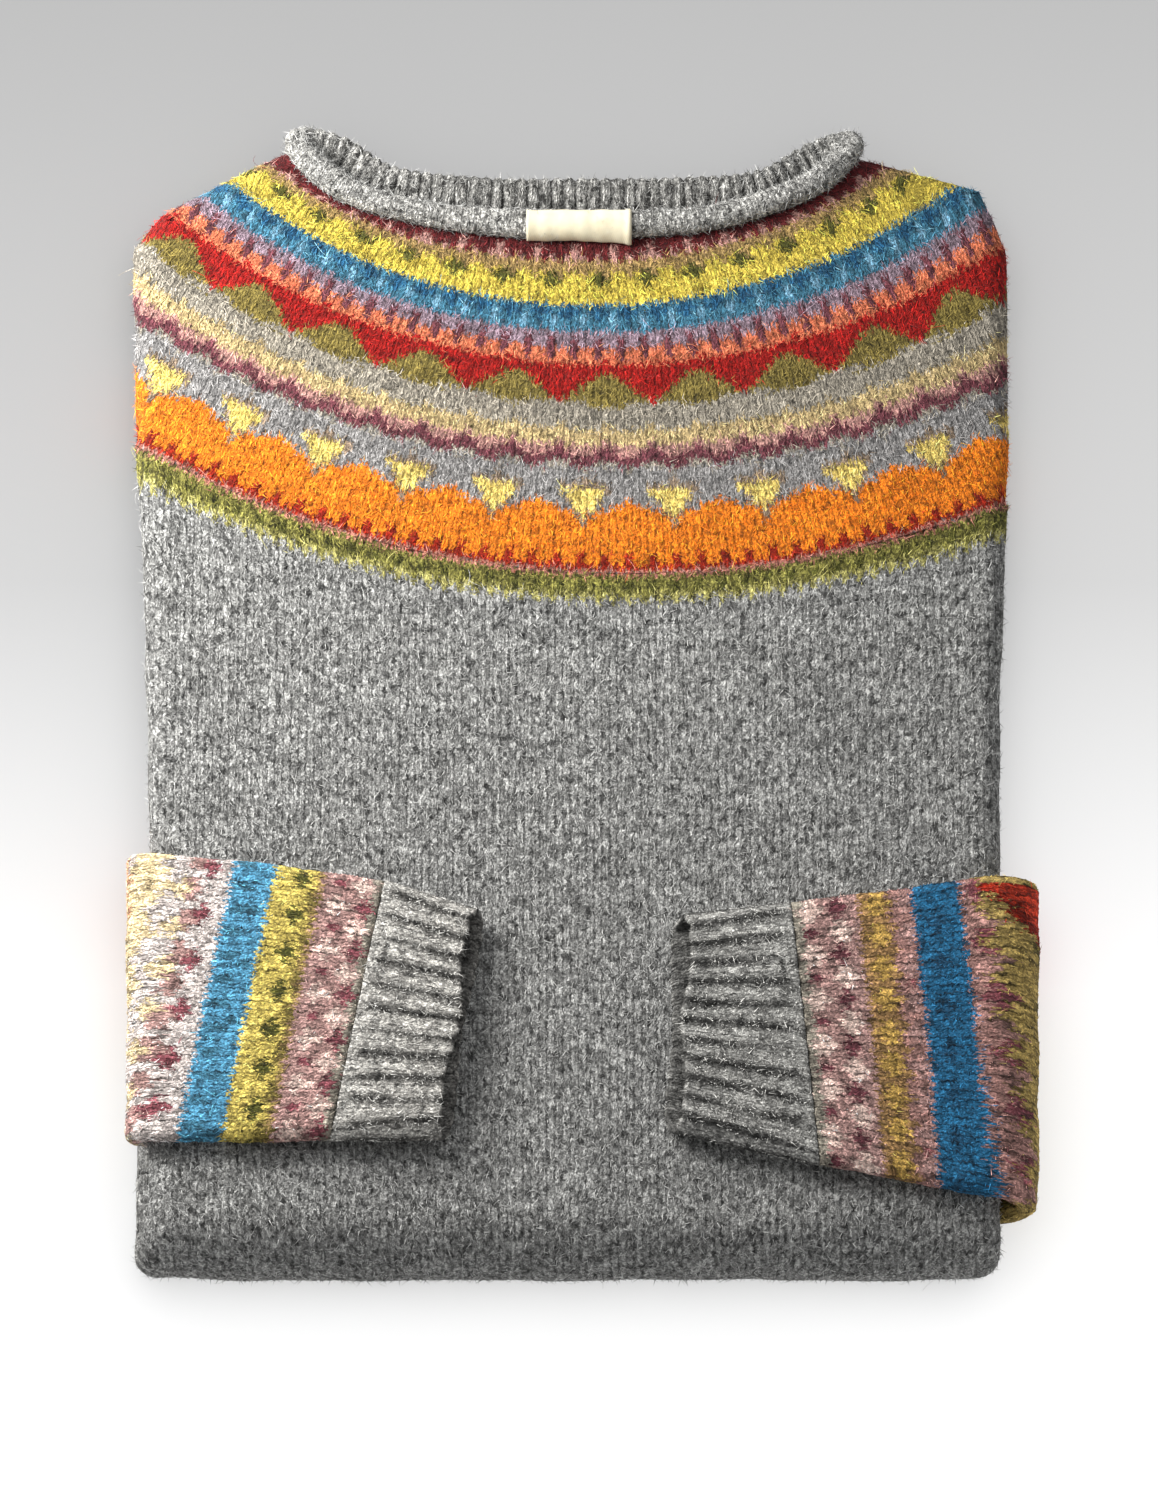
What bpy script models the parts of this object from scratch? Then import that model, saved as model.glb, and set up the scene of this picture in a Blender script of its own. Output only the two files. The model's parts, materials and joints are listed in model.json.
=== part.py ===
"""Nordic yoke sweater folded flat, front up, with its sides folded behind and its hem folded under.

The sleeves are brought round to the front, and their cuffs lie on it.

Sizes are in millimetres and become metres when a mesh is made. X runs across, +Y towards the neck and +Z up.
The front is first laid out on a flat slab (x across, y along the cloth, depth under its face), and
place() then lays that slab on its stack and bends it round the bottom fold.
"""

import math

import bmesh
import bpy
from mathutils import Vector

MM = 0.001

# Cloth
WALL = 2.5
SEAM_GAP = 0.8
LAYER_GAP = 0.6
FILLING_GAP = 1.0

# The stack
SLAB = 18.0
EDGE_REACH = 10.0
EDGE_LENGTH = math.pi * math.sqrt((EDGE_REACH**2 + (SLAB / 2) ** 2) / 2)
EDGE_TURN = math.radians(150)
EDGE_STEPS = 5
FACE_STEPS = 10
ARC_STEPS = 6
SHOULDER_STEPS = 8
OUTLINE_TOP_Y = 212
OUTLINE_STEP = 12
FOLD_RADIUS = 23.5
FOLD_Y = -244.0
FOLD_END = FOLD_Y - math.pi * FOLD_RADIUS
HEM_START = FOLD_END - 25.0
HEM_END = HEM_START - 50.0
TOP_AT_NECK = 30.0
TAPER_START_Y = FOLD_Y + 40.0
TAPER_RUN = 330.0
CROWN = 2.0
CROWN_HALF = 185.0
CORNER_RADIUS = 12.0

# Outer edges of the folded stack along the cloth: the hem part sticks out a little on the left.
SIDE_ROWS = (
    # y, left, right
    (233.0, -195.6, 187.6),
    (190.0, -195.5, 187.5),
    (115.0, -192.5, 187.0),
    (50.0, -188.5, 184.0),
    (-31.0, -184.5, 180.5),
    (-150.0, -182.0, 178.5),
    (-244.0, -181.0, 176.5),
    (-290.0, -187.0, 177.0),
    (-400.0, -188.0, 178.0),
)
# Shoulder lines: a point beside the neck, and the corner that each would make with the side.
SHOULDERS = {"left": ((-100.0, 272.5), (-195.6, 233.0)), "right": ((100.0, 260.0), (187.6, 247.0))}

# Knitted courses: each is the lower half of an ellipse, flatter away from the neck.
NECK_SEAM_Y = 208.8
YOKE_DEPTH = 159.0
COURSE_ROWS = (
    # distance from the neck seam, middle x, half width, drop
    (0.0, -2.0, 129.5, 47.0),
    (31.0, 6.7, 244.0, 244.0),
    (74.0, 16.0, 309.0, 309.0),
    (125.0, 22.0, 378.0, 378.0),
    (159.0, 22.0, 392.0, 392.0),
    (340.0, 22.0, 392.0, 0.01),
    (900.0, 22.0, 392.0, 0.01),
)

# The neckband's closed loop: a round roll in front, a ribbed strip leaning back behind.
NECKBAND_ROWS = (
    # x, y, z, width, height, lean in degrees
    (0.0, 216.6, 32.5, 13.0, 11.0, 0),
    (34.0, 217.0, 32.5, 12.4, 11.0, 0),
    (64.0, 220.8, 32.5, 11.2, 11.0, 0),
    (98.0, 233.6, 32.5, 11.4, 11.0, 0),
    (112.5, 244.5, 32.5, 11.6, 11.0, 0),
    (119.5, 255.5, 32.0, 11.8, 11.5, 0),
    (106.0, 254.0, 28.5, 9.0, 7.5, 22),
    (79.0, 236.6, 25.3, 16.5, 6.0, 33),
    (40.0, 232.8, 24.8, 17.5, 6.0, 33),
    (0.0, 232.5, 24.8, 17.5, 6.0, 33),
    (-40.0, 232.8, 24.8, 17.5, 6.0, 33),
    (-82.0, 238.6, 25.3, 16.5, 6.0, 33),
    (-108.0, 257.5, 28.5, 9.0, 7.5, 22),
    (-123.0, 257.0, 32.0, 11.8, 11.5, 0),
    (-117.0, 245.5, 32.5, 11.6, 11.0, 0),
    (-100.0, 232.2, 32.5, 11.4, 11.0, 0),
    (-70.0, 222.0, 32.5, 11.2, 11.0, 0),
    (-36.0, 217.2, 32.5, 12.4, 11.0, 0),
)
NECKBAND_STEPS = 3
NECKBAND_SIDES = 12

LABEL_HALF_WIDTH = 23.0
LABEL_WALL = 0.8
LABEL_STEPS = 6
LABEL_FIRST_SIDE = 0
LABEL_LAST_SIDE = 4

# Sleeves as flattened tubes. Along runs outward over the face, round the side edge and back under it.
SLEEVE_ROWS = {
    "left": (
        # along and y at the neck side, along and y at the hem side, thickness, looseness
        (82.4, -99.0, 104.4, -217.0, 11.5, 0.0),
        (130.0, -91.0, 140.0, -217.5, 10.5, 0.0),
        (172.0, -86.0, 172.0, -216.0, 9.0, 0.0),
        (187.0, -81.0, 187.0, -212.0, 8.0, 1.0),
        (202.0, -72.0, 202.0, -208.0, 7.2, 0.0),
        (218.0, -67.0, 218.0, -205.0, 7.0, 0.0),
    ),
    "right": (
        (89.8, -109.0, 101.0, -227.8, 11.5, 0.0),
        (135.0, -103.0, 146.0, -236.5, 11.0, 0.0),
        (168.5, -97.0, 168.5, -241.0, 10.0, 1.0),
        (183.5, -94.0, 183.5, -243.0, 9.0, 7.0),
        (198.5, -84.0, 198.5, -242.0, 7.2, 0.8),
        (214.0, -80.0, 214.0, -241.0, 6.8, 0.2),
    ),
}
CUFF_ROWS = {
    "left": (
        (42.4, -113.0, 58.0, -217.0, 14.0, 0.0),
        (82.0, -99.0, 104.0, -217.0, 11.5, 0.0),
    ),
    "right": (
        (43.6, -115.6, 40.7, -214.4, 14.5, 0.0),
        (89.4, -109.0, 100.6, -227.8, 11.5, 0.0),
    ),
}
CUFF_LIP = {"left": 4.5, "right": 7.0}
SLEEVE_STEPS = (2, 1, 4, 4, 1)
CUFF_STEPS = (3,)
TUBE_SIDE_STEPS = 4
TUBE_END_STEPS = 4

# Hidden layers under the front slab, as rings from the floor up.
BACK_RINGS = (
    # share of the height, how far inside the outline, rise into the slab
    (0.0, 5.0, 0.0),
    (0.14, 1.4, 0.0),
    (0.30, 0.8, 0.0),
    (0.42, 2.2, 0.0),
    (0.50, 5.5, 0.0),
    (0.58, 2.2, 0.0),
    (0.72, 1.0, 0.0),
    (0.88, 2.2, 0.0),
    (1.0, 7.0, 0.6),
    (1.0, 9.0, 5.0),
)
BACK_INSET = 2.0
BACK_STRIDE = 2
BACK_LOW_Y = -166.0
BACK_LOW_COLUMNS = (-90.0, 0.0, 90.0)
BACK_NECK_HALF = 126.0
BACK_NECK_ROWS = (
    # x, y, height under the neckband
    (108.0, 243.0, 11.0),
    (84.0, 238.0, 18.5),
    (45.0, 235.0, 18.5),
    (0.0, 234.0, 18.5),
    (-45.0, 235.0, 18.5),
    (-84.0, 240.0, 18.5),
    (-110.0, 245.0, 11.0),
)
POCKET_Y = -20.0
POCKET_FLOOR = 11.8
MIDDLE_SIDES = (-152.0, 148.0)
MIDDLE_TOP_Y = 60.0
MIDDLE_RISE = 5.0

SIDES = {"left": -1.0, "right": 1.0}


def eased(share):
    share = min(max(share, 0.0), 1.0)
    return share * share * (3 - 2 * share)


def mix(first, second, share):
    return first + (second - first) * share


def from_rows(rows, key, column):
    """A column's value between the two rows that bracket the key, which is in column 0."""
    falling = rows[0][0] > rows[-1][0]
    for above, below in zip(rows, rows[1:]):
        inside = below[0] <= key if falling else key <= below[0]
        if inside:
            break
    share = (key - above[0]) / (below[0] - above[0])
    return mix(above[column], below[column], min(max(share, 0.0), 1.0))


def top_height(y):
    return mix(2 * FOLD_RADIUS, TOP_AT_NECK, eased((y - TAPER_START_Y) / TAPER_RUN))


def place(x, y, depth):
    """Lays a point of the flat slab on the stack, round the bottom fold where it lies past it."""
    turn = min(max((FOLD_Y - y) / FOLD_RADIUS, 0.0), math.pi)
    crown = CROWN * min(abs(x) / CROWN_HALF, 1.0) ** 4
    depth += crown * (1 + math.cos(turn)) / 2
    if turn == 0:
        return Vector((x, y, top_height(y) - depth))
    reach = FOLD_RADIUS - depth
    back = max(FOLD_END - y, 0.0)
    return Vector((x, FOLD_Y - reach * math.sin(turn) + back, FOLD_RADIUS + reach * math.cos(turn)))


def rounded_corner(before, corner, after):
    """Points of an arc of CORNER_RADIUS that cuts a corner."""
    into = (before - corner).normalized()
    out = (after - corner).normalized()
    half = into.angle(out) / 2
    centre = corner + (into + out).normalized() * (CORNER_RADIUS / math.sin(half))
    start = corner + into * (CORNER_RADIUS / math.tan(half)) - centre
    end = corner + out * (CORNER_RADIUS / math.tan(half)) - centre
    return [centre + start.slerp(end, step / ARC_STEPS) for step in range(ARC_STEPS + 1)]


def side_outline(side):
    """The outer edge from beside the neck to the hem, as (length so far, point, outward normal)."""
    near_neck, corner = (Vector(point) for point in SHOULDERS[side])
    column = 1 if side == "left" else 2
    rows_y = range(OUTLINE_TOP_Y, int(SIDE_ROWS[-1][0]) - 1, -OUTLINE_STEP)
    down = [Vector((from_rows(SIDE_ROWS, y, column), y)) for y in rows_y]
    points = [mix(near_neck, corner, step / SHOULDER_STEPS) for step in range(SHOULDER_STEPS - 1)]
    points += rounded_corner(near_neck, corner, down[0]) + down
    outline = []
    length = 0.0
    for index, point in enumerate(points):
        before = points[max(index - 1, 0)]
        after = points[min(index + 1, len(points) - 1)]
        length += (point - before).length
        normal = Vector((before.y - after.y, after.x - before.x)).normalized()
        outline.append((length, point, normal * SIDES[side]))
    return outline


def outline_at(outline, length):
    for above, below in zip(outline, outline[1:]):
        if length <= below[0]:
            break
    share = min(max((length - above[0]) / (below[0] - above[0]), 0.0), 1.0)
    normal = above[2].lerp(below[2], share).normalized()
    return above[1].lerp(below[1], share), normal


def course_y(distance, x):
    middle, half_width, drop = (from_rows(COURSE_ROWS, distance, column) for column in (1, 2, 3))
    across = min(abs(x - middle) / half_width, 1.0)
    return NECK_SEAM_Y - distance + drop * (1 - math.sqrt(1 - across * across))


def course_end(outline, distance):
    """The length along the outline where its inner line meets a course."""
    low, high = 0.0, outline[-1][0]
    for _ in range(40):
        middle = (low + high) / 2
        point, normal = outline_at(outline, middle)
        inner = point - normal * EDGE_REACH
        if inner.y > course_y(distance, inner.x):
            low = middle
        else:
            high = middle
    return low


def edge_points(side, outline, distance, inset, steps):
    """A course's points round the side fold, from the face outwards, as (x, y, depth)."""
    start = course_end(outline, distance)
    point, normal = outline_at(outline, start)
    inner = point - normal * EDGE_REACH
    ahead = inner.x + SIDES[side]
    slope = Vector((SIDES[side], course_y(distance, ahead) - course_y(distance, inner.x)))
    along = Vector((normal.y, -normal.x)) * SIDES[side]
    slide = slope.dot(along) / slope.dot(normal)
    half = SLAB / 2
    points = []
    for step in range(steps + 1):
        turn = EDGE_TURN * step / steps
        point, normal = outline_at(outline, start + slide * turn * half)
        out = (EDGE_REACH - inset) * math.sin(turn) - EDGE_REACH
        spot = point + normal * out
        points.append((spot.x, spot.y, half - (half - inset) * math.cos(turn)))
    return points


def course_points(distance, inset, flat_steps, edge_steps):
    """One course from the end of the left fold to the end of the right one, as (x, y, depth)."""
    left = edge_points("left", OUTLINES["left"], distance, inset, edge_steps)
    right = edge_points("right", OUTLINES["right"], distance, inset, edge_steps)
    face = []
    for step in range(1, flat_steps):
        x = mix(left[0][0], right[0][0], step / flat_steps)
        face.append((x, course_y(distance, x), inset))
    return left[::-1] + face + right


OUTLINES = {side: side_outline(side) for side in SIDES}


def material(name, colour, roughness):
    made = bpy.data.materials.new(name)
    made.use_nodes = True
    shader = made.node_tree.nodes["Principled BSDF"]
    shader.inputs["Base Color"].default_value = (*colour, 1)
    shader.inputs["Roughness"].default_value = roughness
    shader.inputs["Metallic"].default_value = 0
    return made


def new_object(name, points, faces, finish, collection):
    mesh = bpy.data.meshes.new(name)
    mesh.from_pydata([Vector(point) * MM for point in points], [], faces)
    mesh.materials.append(finish)
    mesh.shade_smooth()
    made = bpy.data.objects.new(name, mesh)
    collection.objects.link(made)
    return made


def closed_object(name, points, faces, finish, collection):
    """A closed mesh with its faces turned outwards."""
    made = new_object(name, points, faces, finish, collection)
    turned = bmesh.new()
    turned.from_mesh(made.data)
    bmesh.ops.recalc_face_normals(turned, faces=turned.faces)
    if turned.calc_volume(signed=True) < 0:
        bmesh.ops.reverse_faces(turned, faces=turned.faces)
    turned.to_mesh(made.data)
    turned.free()
    return made


def grid_faces(rows, columns, rows_close=False, columns_close=False):
    """Quads of a grid of points stored row after row."""
    faces = []
    for row in range(rows if rows_close else rows - 1):
        for column in range(columns if columns_close else columns - 1):
            below = (row + 1) % rows
            beside = (column + 1) % columns
            faces.append(
                (
                    row * columns + column,
                    below * columns + column,
                    below * columns + beside,
                    row * columns + beside,
                )
            )
    return faces


def cloth_sheet(name, courses, finish, collection):
    """A panel of the front: its outer face as an open grid, thickened inwards."""
    rows = [course_points(distance, 0.0, FACE_STEPS, EDGE_STEPS) for distance in courses]
    points = [place(*point) for row in rows for point in row]
    faces = grid_faces(len(rows), len(rows[0]))
    sheet = new_object(name, points, faces, finish, collection)
    wall = sheet.modifiers.new("Wall", "SOLIDIFY")
    wall.thickness = WALL * MM
    wall.offset = -1
    wall.use_even_offset = True
    return sheet


def spread(start, end, steps):
    return [mix(start, end, step / steps) for step in range(steps + 1)]


def distance_at(y):
    return NECK_SEAM_Y - y


# Courses lie closer together where they end on the shoulder corners.
YOKE_COURSES = spread(0.0, 28.0, 2)
YOKE_COURSES += spread(28.0, 73.0, 6)[1:]
YOKE_COURSES += spread(73.0, YOKE_DEPTH - SEAM_GAP, 6)[1:]
BODY_COURSES = spread(YOKE_DEPTH, distance_at(FOLD_Y), 9)
BODY_COURSES += spread(distance_at(FOLD_Y), distance_at(FOLD_END), 8)[1:]
BODY_COURSES += [distance_at(HEM_START)]


def front_yoke(finish, collection):
    return cloth_sheet("front_yoke", YOKE_COURSES, finish, collection)


def front_body(finish, collection):
    return cloth_sheet("front_body", BODY_COURSES, finish, collection)


def hem_rib(finish, collection):
    courses = spread(distance_at(HEM_START - SEAM_GAP), distance_at(HEM_END), 2)
    return cloth_sheet("hem_rib", courses, finish, collection)


def slab_filling(finish, collection):
    """What lies inside the front slab, all the way round the bottom fold to the hem."""
    inset = WALL + FILLING_GAP
    courses = [3.0] + YOKE_COURSES[1:-1] + BODY_COURSES[:-1] + [distance_at(HEM_END + 3)]
    points = []
    for distance in courses:
        row = course_points(distance, inset, FACE_STEPS, EDGE_STEPS)
        under = [(x, y, SLAB) for x, y, _ in row[EDGE_STEPS : EDGE_STEPS + FACE_STEPS + 1]]
        points += [place(*point) for point in row + under[::-1]]
    count = len(row) + len(under)
    rows = len(courses)
    faces = grid_faces(rows, count, columns_close=True)
    for start in (0, (rows - 1) * count):
        ends = [start + index for index in range(count)]
        left, right = EDGE_STEPS, EDGE_STEPS + FACE_STEPS
        faces.append(tuple(ends[: left + 1] + ends[-1:]))
        faces.append(tuple(ends[right : right + EDGE_STEPS + 2]))
        for step in range(FACE_STEPS):
            top = left + step
            faces.append((ends[top], ends[top + 1], ends[-2 - step], ends[-1 - step]))
    return closed_object("slab_filling", points, faces, finish, collection)


def back_height(y, rise):
    """How high the back layers reach: up to the slab, or lower where the sleeves pass over them."""
    return POCKET_FLOOR if y < POCKET_Y else top_height(y) - SLAB - CROWN + rise


def back_side(side, inside, rise):
    """One side edge of the back layers, from the low end to the neck, as (x, y, height)."""
    points = []
    for _, point, normal in OUTLINES[side][::-BACK_STRIDE]:
        if point.y > BACK_LOW_Y and abs(point.x) > BACK_NECK_HALF:
            spot = point - normal * (inside + BACK_INSET)
            y = max(spot.y, BACK_LOW_Y + inside)
            points.append((spot.x, y, back_height(y, rise)))
    return points


def cap_faces(start, left, right, count):
    """Strips across one ring of the back layers, with one face at the low end and one at the neck."""
    pairs = min(left, right)
    low = len(BACK_LOW_COLUMNS)
    faces = [tuple(range(start, start + low + 1)) + (start + count - 1,)]
    for step in range(low, low + pairs - 1):
        across = count - 1 - (step - low)
        faces.append((start + step, start + step + 1, start + across - 1, start + across))
    faces.append(tuple(range(start + low + pairs - 1, start + count - pairs + 1)))
    return faces


def back_layers(finish, collection):
    """The back and the folded sides, two rounded layers high, from the floor up into the slab above them."""
    points = []
    for share, inside, rise in BACK_RINGS:
        low = [(x, BACK_LOW_Y + inside, POCKET_FLOOR) for x in BACK_LOW_COLUMNS]
        left = back_side("left", inside, rise)
        right = back_side("right", inside, rise)
        neck = [(x, y - inside, height) for x, y, height in BACK_NECK_ROWS]
        ring = low + right + neck + left[::-1]
        points += [Vector((x, y, share * height)) for x, y, height in ring]
    count = len(ring)
    rows = len(BACK_RINGS)
    faces = grid_faces(rows, count, columns_close=True)
    for start in (0, (rows - 1) * count):
        faces += cap_faces(start, len(left), len(right), count)
    return closed_object("back_layers", points, faces, finish, collection)


def middle_layers(finish, collection):
    """What lies between the front slab and the hem part, narrower so that the sleeves can enter."""
    low = Vector((MIDDLE_SIDES[0], FOLD_Y + 3, POCKET_FLOOR - 1))
    high = Vector((MIDDLE_SIDES[1], MIDDLE_TOP_Y, 2 * FOLD_RADIUS - SLAB + MIDDLE_RISE))
    bpy.ops.mesh.primitive_cube_add(size=1)
    block = bpy.context.object
    block.name = "middle_layers"
    for home in block.users_collection:
        home.objects.unlink(block)
    collection.objects.link(block)
    for vertex in block.data.vertices:
        share = vertex.co + Vector((0.5, 0.5, 0.5))
        spot = Vector(mix(low[axis], high[axis], share[axis]) for axis in range(3))
        if share.y > 0.5 and share.z > 0.5:
            spot.z = top_height(spot.y) - SLAB + MIDDLE_RISE
        vertex.co = spot * MM
    block.data.materials.append(finish)
    return block


def folded_layers(finish, collection, helpers):
    filling = slab_filling(finish, collection)
    filling.name = "folded_layers"
    for other in (back_layers(finish, helpers), middle_layers(finish, helpers)):
        other.hide_render = True
        other.display_type = "WIRE"
        join = filling.modifiers.new("Join " + other.name, "BOOLEAN")
        join.operation = "UNION"
        join.solver = "MANIFOLD"
        join.object = other
    return filling


def around_edge(side, along, y, height):
    """A point some height above the cloth, going over the face, round the side fold and under it."""
    column = 1 if side == "left" else 2
    inner = abs(from_rows(SIDE_ROWS, y, column)) - EDGE_REACH
    half = SLAB / 2
    past = along - inner
    if past <= 0:
        across, depth = along, -height
    elif past < EDGE_LENGTH:
        turn = math.pi * past / EDGE_LENGTH
        across = inner + (EDGE_REACH + height) * math.sin(turn)
        depth = half - (half + height) * math.cos(turn)
    else:
        across, depth = inner - (past - EDGE_LENGTH), SLAB + height
    return place(SIDES[side] * across, y, depth)


def stadium(width, thickness):
    """A flattened ring as (across, up): two straight sides and two half-round ends."""
    radius = thickness / 2
    straight = width / 2 - radius
    ring = []
    for sign in (1, -1):
        for step in range(TUBE_SIDE_STEPS):
            across = mix(-straight, straight, step / TUBE_SIDE_STEPS)
            ring.append((sign * across, sign * radius))
        for step in range(TUBE_END_STEPS):
            turn = math.pi * step / TUBE_END_STEPS
            ring.append((sign * (straight + radius * math.sin(turn)), sign * radius * math.cos(turn)))
    return ring


def tube_station(side, row, inset, lip):
    near_along, near_y, far_along, far_y, thickness, loose = row
    width = math.hypot(far_along - near_along, far_y - near_y)
    points = []
    for across, up in stadium(width - 2 * inset, thickness - 2 * inset):
        share = 0.5 + across / width
        along = mix(near_along, far_along, share) + lip * (up / thickness)
        height = LAYER_GAP + loose + thickness / 2 + up
        points.append(around_edge(side, along, mix(near_y, far_y, share), height))
    return points


def cloth_tube(name, side, rows, steps, lips, finish, collection):
    """A flattened tube with open ends: its outside, then its inside back again."""
    stations = []
    for index, count in enumerate(steps):
        for step in range(count):
            share = step / count
            row = tuple(mix(a, b, share) for a, b in zip(rows[index], rows[index + 1]))
            stations.append((row, mix(lips[index], lips[index + 1], share)))
    stations.append((rows[-1], lips[-1]))
    outside = [tube_station(side, row, 0.0, lip) for row, lip in stations]
    inside = [tube_station(side, row, WALL, lip) for row, lip in reversed(stations)]
    rings = outside + inside
    points = [point for ring in rings for point in ring]
    faces = grid_faces(len(rings), len(rings[0]), rows_close=True, columns_close=True)
    return closed_object(name, points, faces, finish, collection)


def sleeve(side, finish, collection):
    rows = SLEEVE_ROWS[side]
    return cloth_tube("sleeve_" + side, side, rows, SLEEVE_STEPS, [0.0] * len(rows), finish, collection)


def cuff(side, finish, collection):
    lips = [CUFF_LIP[side], 0.0]
    return cloth_tube("cuff_" + side, side, CUFF_ROWS[side], CUFF_STEPS, lips, finish, collection)


def catmull_rom(a, b, c, d, t):
    """The value between b and c of a smooth curve through a, b, c and d."""
    slope = (c - a) * t
    bend = (2 * a - 5 * b + 4 * c - d) * t**2
    twist = (3 * b - a - 3 * c + d) * t**3
    return (2 * b + slope + bend + twist) / 2


def smooth_loop(rows, steps):
    """Stations between the rows of a closed table, on a smooth curve through every column."""
    count = len(rows)
    stations = []
    for index in range(count):
        around = [rows[(index + shift) % count] for shift in (-1, 0, 1, 2)]
        for step in range(steps):
            stations.append(tuple(catmull_rom(*four, step / steps) for four in zip(*around)))
    return stations


def band_section(station, outward, side_angle, raised):
    """A point of the neckband's oval section, some distance above its surface."""
    x, y, z, width, height, lean = station
    tilt = math.radians(lean)
    flat = math.cos(side_angle) * (width / 2 + raised)
    tall = math.sin(side_angle) * (height / 2 + raised)
    out = flat * math.cos(tilt) - tall * math.sin(tilt)
    up = flat * math.sin(tilt) + tall * math.cos(tilt)
    return Vector((x + outward.x * out, y + outward.y * out, z + up))


def neckband(finish, collection):
    stations = smooth_loop(NECKBAND_ROWS, NECKBAND_STEPS)
    count = len(stations)
    points = []
    for index, station in enumerate(stations):
        before, after = stations[index - 1], stations[(index + 1) % count]
        outward = Vector((after[1] - before[1], before[0] - after[0])).normalized()
        for step in range(NECKBAND_SIDES):
            points.append(band_section(station, outward, 2 * math.pi * step / NECKBAND_SIDES, 0.0))
    faces = grid_faces(count, NECKBAND_SIDES, rows_close=True, columns_close=True)
    return closed_object("neckband", points, faces, finish, collection)


def label(finish, collection):
    """A bare tape that lies over the front roll of the neckband."""
    front = NECKBAND_ROWS[0]
    outward = Vector((0, -1))
    points = []
    sides = range(LABEL_FIRST_SIDE, LABEL_LAST_SIDE + 1)
    for x in spread(-LABEL_HALF_WIDTH, LABEL_HALF_WIDTH, LABEL_STEPS):
        for step in sides:
            angle = 2 * math.pi * step / NECKBAND_SIDES
            points.append(band_section((x,) + front[1:], outward, angle, LAYER_GAP))
    faces = grid_faces(LABEL_STEPS + 1, len(sides))
    tape = new_object("label", points, faces, finish, collection)
    wall = tape.modifiers.new("Tape", "SOLIDIFY")
    wall.thickness = LABEL_WALL * MM
    wall.offset = 1
    return tape


def new_collection(name):
    made = bpy.data.collections.new(name)
    bpy.context.scene.collection.children.link(made)
    return made


def main():
    for obj in list(bpy.data.objects):
        bpy.data.objects.remove(obj)
    pieces = new_collection("Nordic yoke sweater")
    helpers = new_collection("Cutters")

    grey = material("heather_grey_wool", (0.27, 0.265, 0.25), 0.95)
    yoke = material("yoke_colourwork", (0.55, 0.30, 0.10), 0.95)
    bands = material("sleeve_colourwork", (0.20, 0.26, 0.30), 0.95)
    rib = material("grey_rib", (0.22, 0.21, 0.195), 0.95)
    tape = material("label_tape", (0.85, 0.80, 0.66), 0.7)

    front_yoke(yoke, pieces)
    front_body(grey, pieces)
    hem_rib(rib, pieces)
    folded_layers(grey, pieces, helpers)
    neckband(rib, pieces)
    label(tape, pieces)
    for side in SIDES:
        sleeve(side, bands, pieces)
        cuff(side, rib, pieces)


main()
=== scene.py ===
"""Looks of the nordic yoke sweater, folded flat with its sleeves brought to the front.

Lengths are in millimetres until a mesh is made. X runs across, +Y towards the neck and +Z up. The front is
laid out on a flat slab as (x, y, depth under its face) and place() lays it on the stack, as in the solids.
Knit coordinates count stitches: the first number is the wale and the second the course.
"""

import json
import math

import bpy
import numpy as np
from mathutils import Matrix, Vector

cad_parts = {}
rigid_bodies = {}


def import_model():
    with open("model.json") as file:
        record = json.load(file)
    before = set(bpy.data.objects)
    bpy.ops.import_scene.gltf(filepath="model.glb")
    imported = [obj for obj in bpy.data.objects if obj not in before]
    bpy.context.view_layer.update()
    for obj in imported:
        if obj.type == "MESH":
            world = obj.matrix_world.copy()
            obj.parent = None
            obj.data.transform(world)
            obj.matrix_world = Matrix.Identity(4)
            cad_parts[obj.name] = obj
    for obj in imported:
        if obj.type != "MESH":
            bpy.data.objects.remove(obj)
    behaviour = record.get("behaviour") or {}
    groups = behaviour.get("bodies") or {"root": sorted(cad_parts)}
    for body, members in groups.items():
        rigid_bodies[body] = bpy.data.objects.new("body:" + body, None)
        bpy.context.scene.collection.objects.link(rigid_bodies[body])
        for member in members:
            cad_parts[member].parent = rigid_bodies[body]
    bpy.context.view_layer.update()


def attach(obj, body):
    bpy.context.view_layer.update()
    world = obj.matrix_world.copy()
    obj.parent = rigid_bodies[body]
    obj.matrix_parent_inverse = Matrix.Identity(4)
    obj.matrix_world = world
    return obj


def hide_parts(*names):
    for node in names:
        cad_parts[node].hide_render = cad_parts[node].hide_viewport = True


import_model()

MM = 0.001
ROOT = "root"

# Yarn and gauge
STITCH = 3.33
COURSE = 2.6
SLANT = 0.9
WALL = 2.5
BAND_STITCH = 2.65
BAND_COURSE = 2.2
BAND_ROUND = 38.0

# The slab and its stack
SLAB = 18.0
EDGE_REACH = 10.0
EDGE_LENGTH = math.pi * math.sqrt((EDGE_REACH**2 + (SLAB / 2) ** 2) / 2)
EDGE_TURN = math.radians(150)
FOLD_RADIUS = 23.5
FOLD_Y = -244.0
FOLD_END = FOLD_Y - math.pi * FOLD_RADIUS
HEM_START = FOLD_END - 25.0
HEM_END = HEM_START - 50.0
TOP_AT_NECK = 30.0
TAPER_START_Y = FOLD_Y + 40.0
TAPER_RUN = 330.0
CROWN = 2.0
CROWN_HALF = 185.0
CORNER_RADIUS = 12.0
SIDE_ROWS = np.array([
    # y, left, right
    (233.0, -195.6, 187.6),
    (190.0, -195.5, 187.5),
    (115.0, -192.5, 187.0),
    (50.0, -188.5, 184.0),
    (-31.0, -184.5, 180.5),
    (-150.0, -182.0, 178.5),
    (-244.0, -181.0, 176.5),
    (-290.0, -187.0, 177.0),
    (-400.0, -188.0, 178.0),
])[::-1]
SHOULDERS = {"left": ((-100.0, 272.5), (-195.6, 233.0)), "right": ((100.0, 260.0), (187.6, 247.0))}
SIDES = {"left": -1.0, "right": 1.0}
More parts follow.
